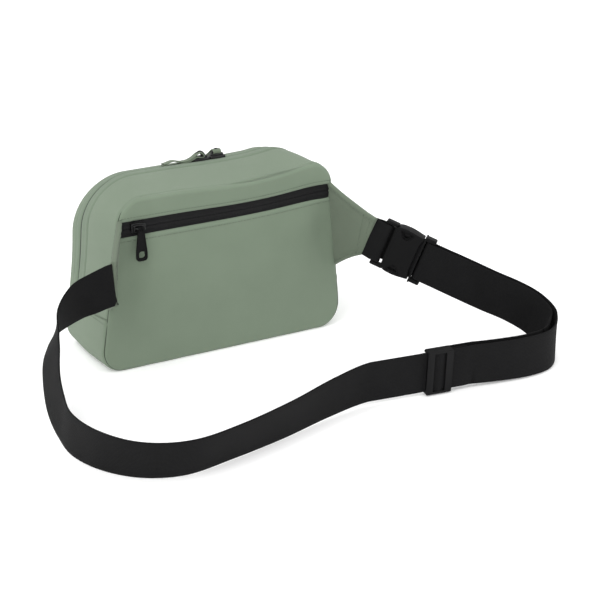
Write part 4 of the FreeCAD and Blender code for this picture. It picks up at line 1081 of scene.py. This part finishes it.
def from_curve(curve, matrix):
    """A mesh object in the row frame from a curve's data."""
    holder = new_object("curve", curve)
    graph = bpy.context.evaluated_depsgraph_get()
    mesh = bpy.data.meshes.new_from_object(holder.evaluated_get(graph))
    bpy.data.objects.remove(holder)
    mesh.transform(matrix)
    return new_object("part", mesh)


def rod(points, radius, matrix, closed=False):
    """A round rod along points given in millimetres."""
    curve = bpy.data.curves.new("rod", "CURVE")
    curve.dimensions = "3D"
    curve.bevel_depth = radius * MM
    curve.bevel_resolution = 4
    curve.use_fill_caps = True
    line = curve.splines.new("POLY")
    line.points.add(len(points) - 1)
    line.use_cyclic_u = closed
    for point, place in zip(line.points, points):
        point.co = (*[c * MM for c in place], 1)
    return from_curve(curve, matrix)


def rounded(corners, radius, steps=5):
    """A polygon with its corners rounded; radius may be one number or one for each corner."""
    radii = [radius] * len(corners) if isinstance(radius, (int, float)) else radius
    points = []
    count = len(corners)
    for k in range(count):
        corner = np.array(corners[k], float)
        back = np.array(corners[k - 1], float) - corner
        ahead = np.array(corners[(k + 1) % count], float) - corner
        reach = min(radii[k], np.linalg.norm(back) * 0.49, np.linalg.norm(ahead) * 0.49)
        start = corner + back / np.linalg.norm(back) * reach
        end = corner + ahead / np.linalg.norm(ahead) * reach
        for t in np.linspace(0, 1, steps):
            points.append(tuple(start * (1 - t) ** 2 + 2 * corner * t * (1 - t) + end * t ** 2))
    return points


def mirrored(points):
    return [(x, -y) for x, y in points][::-1]


def softened(name, width, segments=3):
    """A CAD node's own form with its sharp edges rounded."""
    node = frame["nodes"][name]
    builder = bmesh.new()
    builder.from_mesh(node.data)
    builder.transform(node.matrix_world)
    bmesh.ops.remove_doubles(builder, verts=builder.verts, dist=1e-6)
    bmesh.ops.dissolve_limit(builder, angle_limit=math.radians(2), verts=builder.verts,
                             edges=builder.edges)
    mesh = bpy.data.meshes.new("soft_" + name)
    builder.to_mesh(mesh)
    builder.free()
    piece = new_object("soft_" + name, mesh)
    bevel = piece.modifiers.new("edges", "BEVEL")
    bevel.width = width * MM
    bevel.segments = segments
    bevel.limit_method = "ANGLE"
    bevel.angle_limit = math.radians(35)
    bevel.harden_normals = False
    return apply_modifiers(piece)


def black_plastic(piece, body, node):
    finish_piece(piece, body, PLASTIC, "black_plastic", node)


def block(x_low, x_high, half, radius):
    """A rounded rectangle across a part, with half its width."""
    return rounded([(x_low, -half), (x_high, -half), (x_high, half), (x_low, half)], radius)


def make_female(matrix):
    """The female half: two faces with thumb recesses, side walls and the webbing loop."""
    half = rounded([(18.5, 20.2), (23, 22.4), (33, 23), (46, 20.8), (43.8, 14), (43.4, 0)],
                   [3, 6, 10, 1.6, 6, 0.1])
    rim = half[:-5] + mirrored(half[:-5])
    thumb = rounded([(23.4, 20.8), (37.6, 20.8), (33.0, 13.0), (28.0, 13.0)], 2.4)
    pit = rounded([(25.4, 19.6), (35.6, 19.6), (32.3, 14.7), (28.7, 14.7)], 1.6)
    wall = rounded([(18.5, 19.6), (22, 22.4), (30, 23), (45.6, 21.2), (45.6, 19.6)],
                   [1, 4, 10, 1, 0.4])
    ear = rounded([(8.4, 23), (20.5, 23), (20.5, 19.8), (8.4, 19.8)], [3, 1, 0.6, 1.4])
    pieces = []
    for side in (1, -1):
        near, far, skin = 3.3 * side, 4.2 * side, 5.5 * side
        pieces.append(moulding([rim, pit, mirrored(pit)], min(near, far), max(near, far), 0.2,
                               matrix))
        outer = sorted((far - 0.15 * side, skin))
        pieces.append(moulding([rim, thumb, mirrored(thumb)], *outer, 0.35, matrix))
        for rim_part, reach, bevel in ((wall, 4.9, 0.4), (ear, 3.3, 1.0)):
            pieces.append(moulding([rim_part if side > 0 else mirrored(rim_part)], -reach, reach,
                                   bevel, matrix))
    pieces.append(moulding([block(18.5, 21.2, 20, 0.4)], -5.2, 5.2, 0.5, matrix))
    # a black plate recessed behind the slot beside the bar, so the slot reads dark: painted shade
    # filling the gap
    pieces.append(moulding([block(14.9, 19, 16.8, 1)], -5.2, -3.1, 0.4, matrix))
    pieces.append(rod([(FEMALE_BAR, -21.5, 0), (FEMALE_BAR, 21.5, 0)], 2.0, matrix))
    black_plastic(join("female_half", pieces), "bag", "buckle_female")


def make_male(matrix):
    """The male half's flange, side rails, bar and guides."""
    # a black plate behind the gap between the flange and the webbing fold, standing in for the
    # shade there: painted shade
    gap_shade_plate = moulding([block(47.2, 49.0, 19, 0.4)], -4.6, -2.1, 0.3, matrix)
    body = join("male_half", [softened("buckle_male", 0.55), gap_shade_plate])
    black_plastic(body, "belt_front", "buckle_male")
    for prong in ("prong_low", "prong_high"):
        black_plastic(softened("buckle_" + prong, 0.4), prong, "buckle_" + prong)


def make_triglide(matrix):
    """The adjuster, a little closer to the webbing's edges than its drawn block."""
    piece = softened("triglide", 0.9, 4)
    local = matrix.inverted()
    for vertex in piece.data.vertices:
        place = local @ vertex.co
        place.y = place.y * 0.935 - 0.5 * MM
        vertex.co = matrix @ place
    black_plastic(piece, "adjuster", "triglide")


def slider_matrix(place, along, out):
    along, out = np.array(along, float), np.array(out, float)
    return frame_matrix(place, along, np.cross(out, along), out)


def make_slider(name, matrix, body):
    """A zip slider: rounded plates above and below the coils, a neck and an arched bail."""
    plan = rounded([(-7, -3.2), (-3.8, -3.7), (0.8, -4.5), (7, -3.9), (7, 3.9), (0.8, 4.5),
                    (-3.8, 3.7), (-7, 3.2)], [2.2, 2, 3, 1.6, 1.6, 3, 2, 2.2])
    small = [(x * 0.8, y * 0.72) for x, y in plan]
    arch = [(-4.55 + 9.1 * t, 0, 1.7 + 5.9 * math.sin(math.pi * t) ** 0.45)
            for t in np.linspace(0, 1, 25)]
    pieces = [moulding([plan], 0.2, 3.4, 0.8, matrix), moulding([small], 2.6, 5.0, 0.9, matrix),
              moulding([[(x * 0.9, y * 0.85) for x, y in plan]], -5.0, -3.4, 0.4, matrix),
              moulding([block(0.4, 3.5, 0.35, 0.2)], -3.8, 0.6, 0.1, matrix),
              rod(arch, 0.95, matrix)]
    for side in (-1, 1):
        flange = rounded([(-6.4, side * 3.0), (6.4, side * 3.7), (6.4, side * 4.3),
                          (0.6, side * 4.7), (-6.4, side * 3.7)], 0.4)
        pieces.append(moulding([flange], -0.5, 1.2, 0.2, matrix))
    finish_piece(join(name + "_visual", pieces), body, METAL, "black_metal", name)


def tape_loop(name, path, matrix, body, node, width=6.4, thick=0.55):
    """A folded tape pull: a band along a path in the frame's X and Z, in millimetres."""
    path = np.array(path, float)
    run = run_along(path)
    places = np.arange(0, run[-1], 0.4)
    smooth = resample(places, run, path)
    kernel = np.array([1, 2, 3, 2, 1]) / 9
    for _ in range(3):
        padded = np.pad(smooth, ((2, 2), (0, 0)), mode="edge")
        smooth = np.stack([np.convolve(padded[:, k], kernel, "valid") for k in range(2)], axis=1)
    centres = np.array([spot(matrix, x, 0, z) for x, z in smooth])
    headings = headings_of(centres)
    width_axis = column(matrix, 1)
    widths = np.repeat(width_axis[None] * width / 2 * MM, len(centres), axis=0)
    normals = np.cross(headings, width_axis[None])
    grid, across, side = strip_grid(centres, widths, normals, thick * MM, columns=8)
    rib = 0.16 * np.sin(np.arange(len(centres)) * 0.4 * 2 * math.pi / 1.3)
    grid += normals[:, None] * (rib[:, None, None] * side[None, :, None] * MM)
    piece = strip_piece(name, grid, across, width / 2 * MM)
    finish_piece(piece, body, PULL_TAPE, "green_zip_tape", node)


def pull_path(spine, eye):
    """The outline of a folded tape in side view: over the top, round the end and back.

    spine is the folded tape's middle line; eye is how far the two plies part near its end.
    """
    spine = np.array(spine, float)
    run = run_along(spine)
    places = np.linspace(0, run[-1], 40)
    line = resample(places, run, spine)
    headings = np.gradient(line, axis=0)
    headings /= np.linalg.norm(headings, axis=1)[:, None]
    side = np.stack([-headings[:, 1], headings[:, 0]], axis=1)
    share = places / run[-1]
    part = 0.62 + (eye - 0.62) * bump_at(share, 0.74, 0.15) + 1.7 * bump_at(share, 0.0, 0.09)
    upper, lower = line + side * part[:, None], line - side * part[:, None]
    head = [(-2.4, 1.6), (-3.0, 0.0), (-2.3, -1.6)]
    return list(lower[::-1]) + head[::-1] + list(upper)


def make_pulls(left, right, pocket):
    """The two folded tape pulls on the main zip and the moulded pull on the pocket zip."""
    along = [(0, 1.2), (4, 0.9), (8, -1.2), (13, -2.8), (20, -3.2), (28, -2.6), (38, -2.8)]
    over = [(0, 0), (5, -0.6), (10, -3.0), (15, -5.2), (20, -8.4), (23, -13), (25, -20),
            (26, -27)]
    tape_loop("loop_pull_left_tape", pull_path(along, 2.2), left, "loop_pull_left",
              "loop_pull_left", width=7.4)
    tape_loop("loop_pull_right_tape", pull_path(over, 1.6), right, "loop_pull_right",
              "loop_pull_right", width=8.0)

    rim = rounded([(1.6, -3.0), (10, -3.9), (22, -5.4), (29, -5.2), (29, 5.2), (22, 5.4),
                   (10, 3.9), (1.6, 3.0)], [1, 8, 6, 4.4, 4.4, 6, 8, 1])
    window = rounded([(20.2, -2.7), (26.2, -3.1), (26.2, 3.1), (20.2, 2.7)], 2.2)
    step = [(2.2 + (x - 1.6) * 0.95, y * 0.8) for x, y in rim]
    pieces = [moulding([rim, window], -0.7, 0.7, 0.3, pocket),
              moulding([rim, step], 0.2, 1.1, 0.25, pocket),
              moulding([rounded([(19.4, -3.4), (27.0, -3.8), (27.0, 3.8), (19.4, 3.4)], 2.6),
                        window], 0.3, 1.05, 0.2, pocket)]
    ring = [(1.65 * math.cos(a), 1.65 * math.sin(a)) for a in np.linspace(0, 2 * math.pi, 20)]
    pieces += [rod([(x, y, z) for x, z in ring], 0.62, pocket) for y in (-2.3, -0.9, 0.9, 2.3)]
    black_plastic(join("pocket_pull_visual", pieces), "pocket_pull", "pocket_pull")


def make_hardware():
    slope = math.atan2(FRONT_TOP - CROWN_TOP, FRONT - CROWN_PLACE)
    top = CROWN_TOP + (MAIN_ZIP - CROWN_PLACE) * math.tan(slope)
    out = (0, -math.sin(slope), math.cos(slope))
    forward = (0, math.cos(slope), math.sin(slope))
    bridge, crossbar = 7.65 * MM, 6.05 * MM
    places = {}
    for name, x, along in (("main_slider_left", 11.5, (1, 0, 0)),
                           ("main_slider_right", 28.0, (-1, 0, 0))):
        places[name] = np.array([x * MM, MAIN_ZIP, top])
        chunky = Matrix.Diagonal((1.15, 1.15, 1.3, 1))
        make_slider(name, slider_matrix(places[name], along, out) @ chunky, name)
    pocket = np.array([-82 * MM, REAR + 1 * MM, ZIP_MIDDLE])
    make_slider("pocket_slider", slider_matrix(pocket, (-1, 0, 0), (0, -1, 0)), "pocket_slider")
    lift = np.array(out)
    make_pulls(slider_matrix(places["main_slider_left"] + lift * crossbar, (-1, 0, 0), out),
               slider_matrix(places["main_slider_right"] + lift * bridge, forward, out),
               slider_matrix(pocket + np.array((0, -bridge, 0)), (0, 0, -1), (0, -1, 0)))


# ---------------------------------------------------------------- stage, light and camera

def make_stage():
    bpy.ops.mesh.primitive_plane_add(size=12)
    floor = bpy.context.object
    floor.name = "floor"
    floor.location.z = -0.0004
    material, _, shader = new_material("white_paper")
    shader.inputs["Base Color"].default_value = (0.92, 0.92, 0.92, 1)
    shader.inputs["Roughness"].default_value = 0.9
    shader.inputs["Specular IOR Level"].default_value = 0.1
    shader.inputs["Emission Color"].default_value = (1, 1, 1, 1)
    shader.inputs["Emission Strength"].default_value = 0.22
    floor.data.materials.append(material)
    world = bpy.data.worlds.new("studio")
    bpy.context.scene.world = world
    world.use_nodes = True
    back = world.node_tree.nodes["Background"]
    back.inputs["Color"].default_value = (1, 1, 1, 1)
    back.inputs["Strength"].default_value = 0.95


def add_light(name, place, aim, size, power):
    data = bpy.data.lights.new(name, "AREA")
    data.shape = "RECTANGLE"
    data.size, data.size_y = size
    data.energy = power
    lamp = new_object(name, data)
    lamp.location = place
    lamp.rotation_euler = (Vector(aim) - Vector(place)).to_track_quat("-Z", "Y").to_euler()


def make_lights():
    add_light("key", (-1.3, -0.9, 1.9), (0, -0.05, 0.08), (1.4, 1.4), 25)
    add_light("fill", (1.6, -1.6, 1.2), (0.05, -0.1, 0.08), (1.6, 1.2), 7)
    add_light("top", (0.2, 0.6, 2.2), (0, 0, 0.1), (1.6, 1.2), 3)


def make_camera():
    azimuth, elevation = math.radians(-29.6), math.radians(21.8)
    distance, target = 1.585, Vector((0.0455, -0.100, 0.0583))
    back = Vector((math.sin(azimuth) * math.cos(elevation),
                   -math.cos(azimuth) * math.cos(elevation), math.sin(elevation)))
    right = Vector((math.cos(azimuth), math.sin(azimuth), 0))
    up = back.cross(right)
    data = bpy.data.cameras.new("camera")
    data.sensor_width = 36
    data.lens = 108
    camera = new_object("camera", data)
    turn = Matrix((right, up, back)).transposed()
    camera.matrix_world = Matrix.Translation(target + back * distance) @ turn.to_4x4()
    bpy.context.scene.camera = camera
    bpy.context.scene.view_settings.view_transform = "Standard"


# ---------------------------------------------------------------- what the script builds

NODE_LOOKS = {"webbing": WEB, "black_plastic": PLASTIC, "black_metal": METAL,
              "canvas": CANVAS, "green_zip_tape": FLANGE, "black_zip_tape": BLACK_TAPE,
              "zip_coil": COIL, "lining": LINING}


def dress_nodes():
    """Every CAD node that is still shown gets the detailed material of its slot."""
    slots = {entry["node"]: entry["material_slot"] for entry in frame["record"]["subparts"]}
    for name, node in frame["nodes"].items():
        node.data.materials.clear()
        node.data.materials.append(NODE_LOOKS[slots[name]])


make_camera()
make_stage()
make_lights()
dress_nodes()
make_shell()
make_pocket_zip()
make_pocket_lining()
make_main_coils()
BUCKLE, GLIDE = buckle_matrix(), glide_matrix()
make_wing("wing_left_cloth", -1, LEFT_TIP, 0, "wing_left")
make_wing("wing_right_cloth", 1, RIGHT_TIP, BUCKLE_SLOPE, "wing_right")
make_belt_end(GLIDE, make_belt(BUCKLE, GLIDE))
make_belt_short(BUCKLE)
make_female(BUCKLE)
make_male(BUCKLE)
make_triglide(GLIDE)
make_hardware()
make_painted_seam_shadows()
sew_seams()
make_threads()
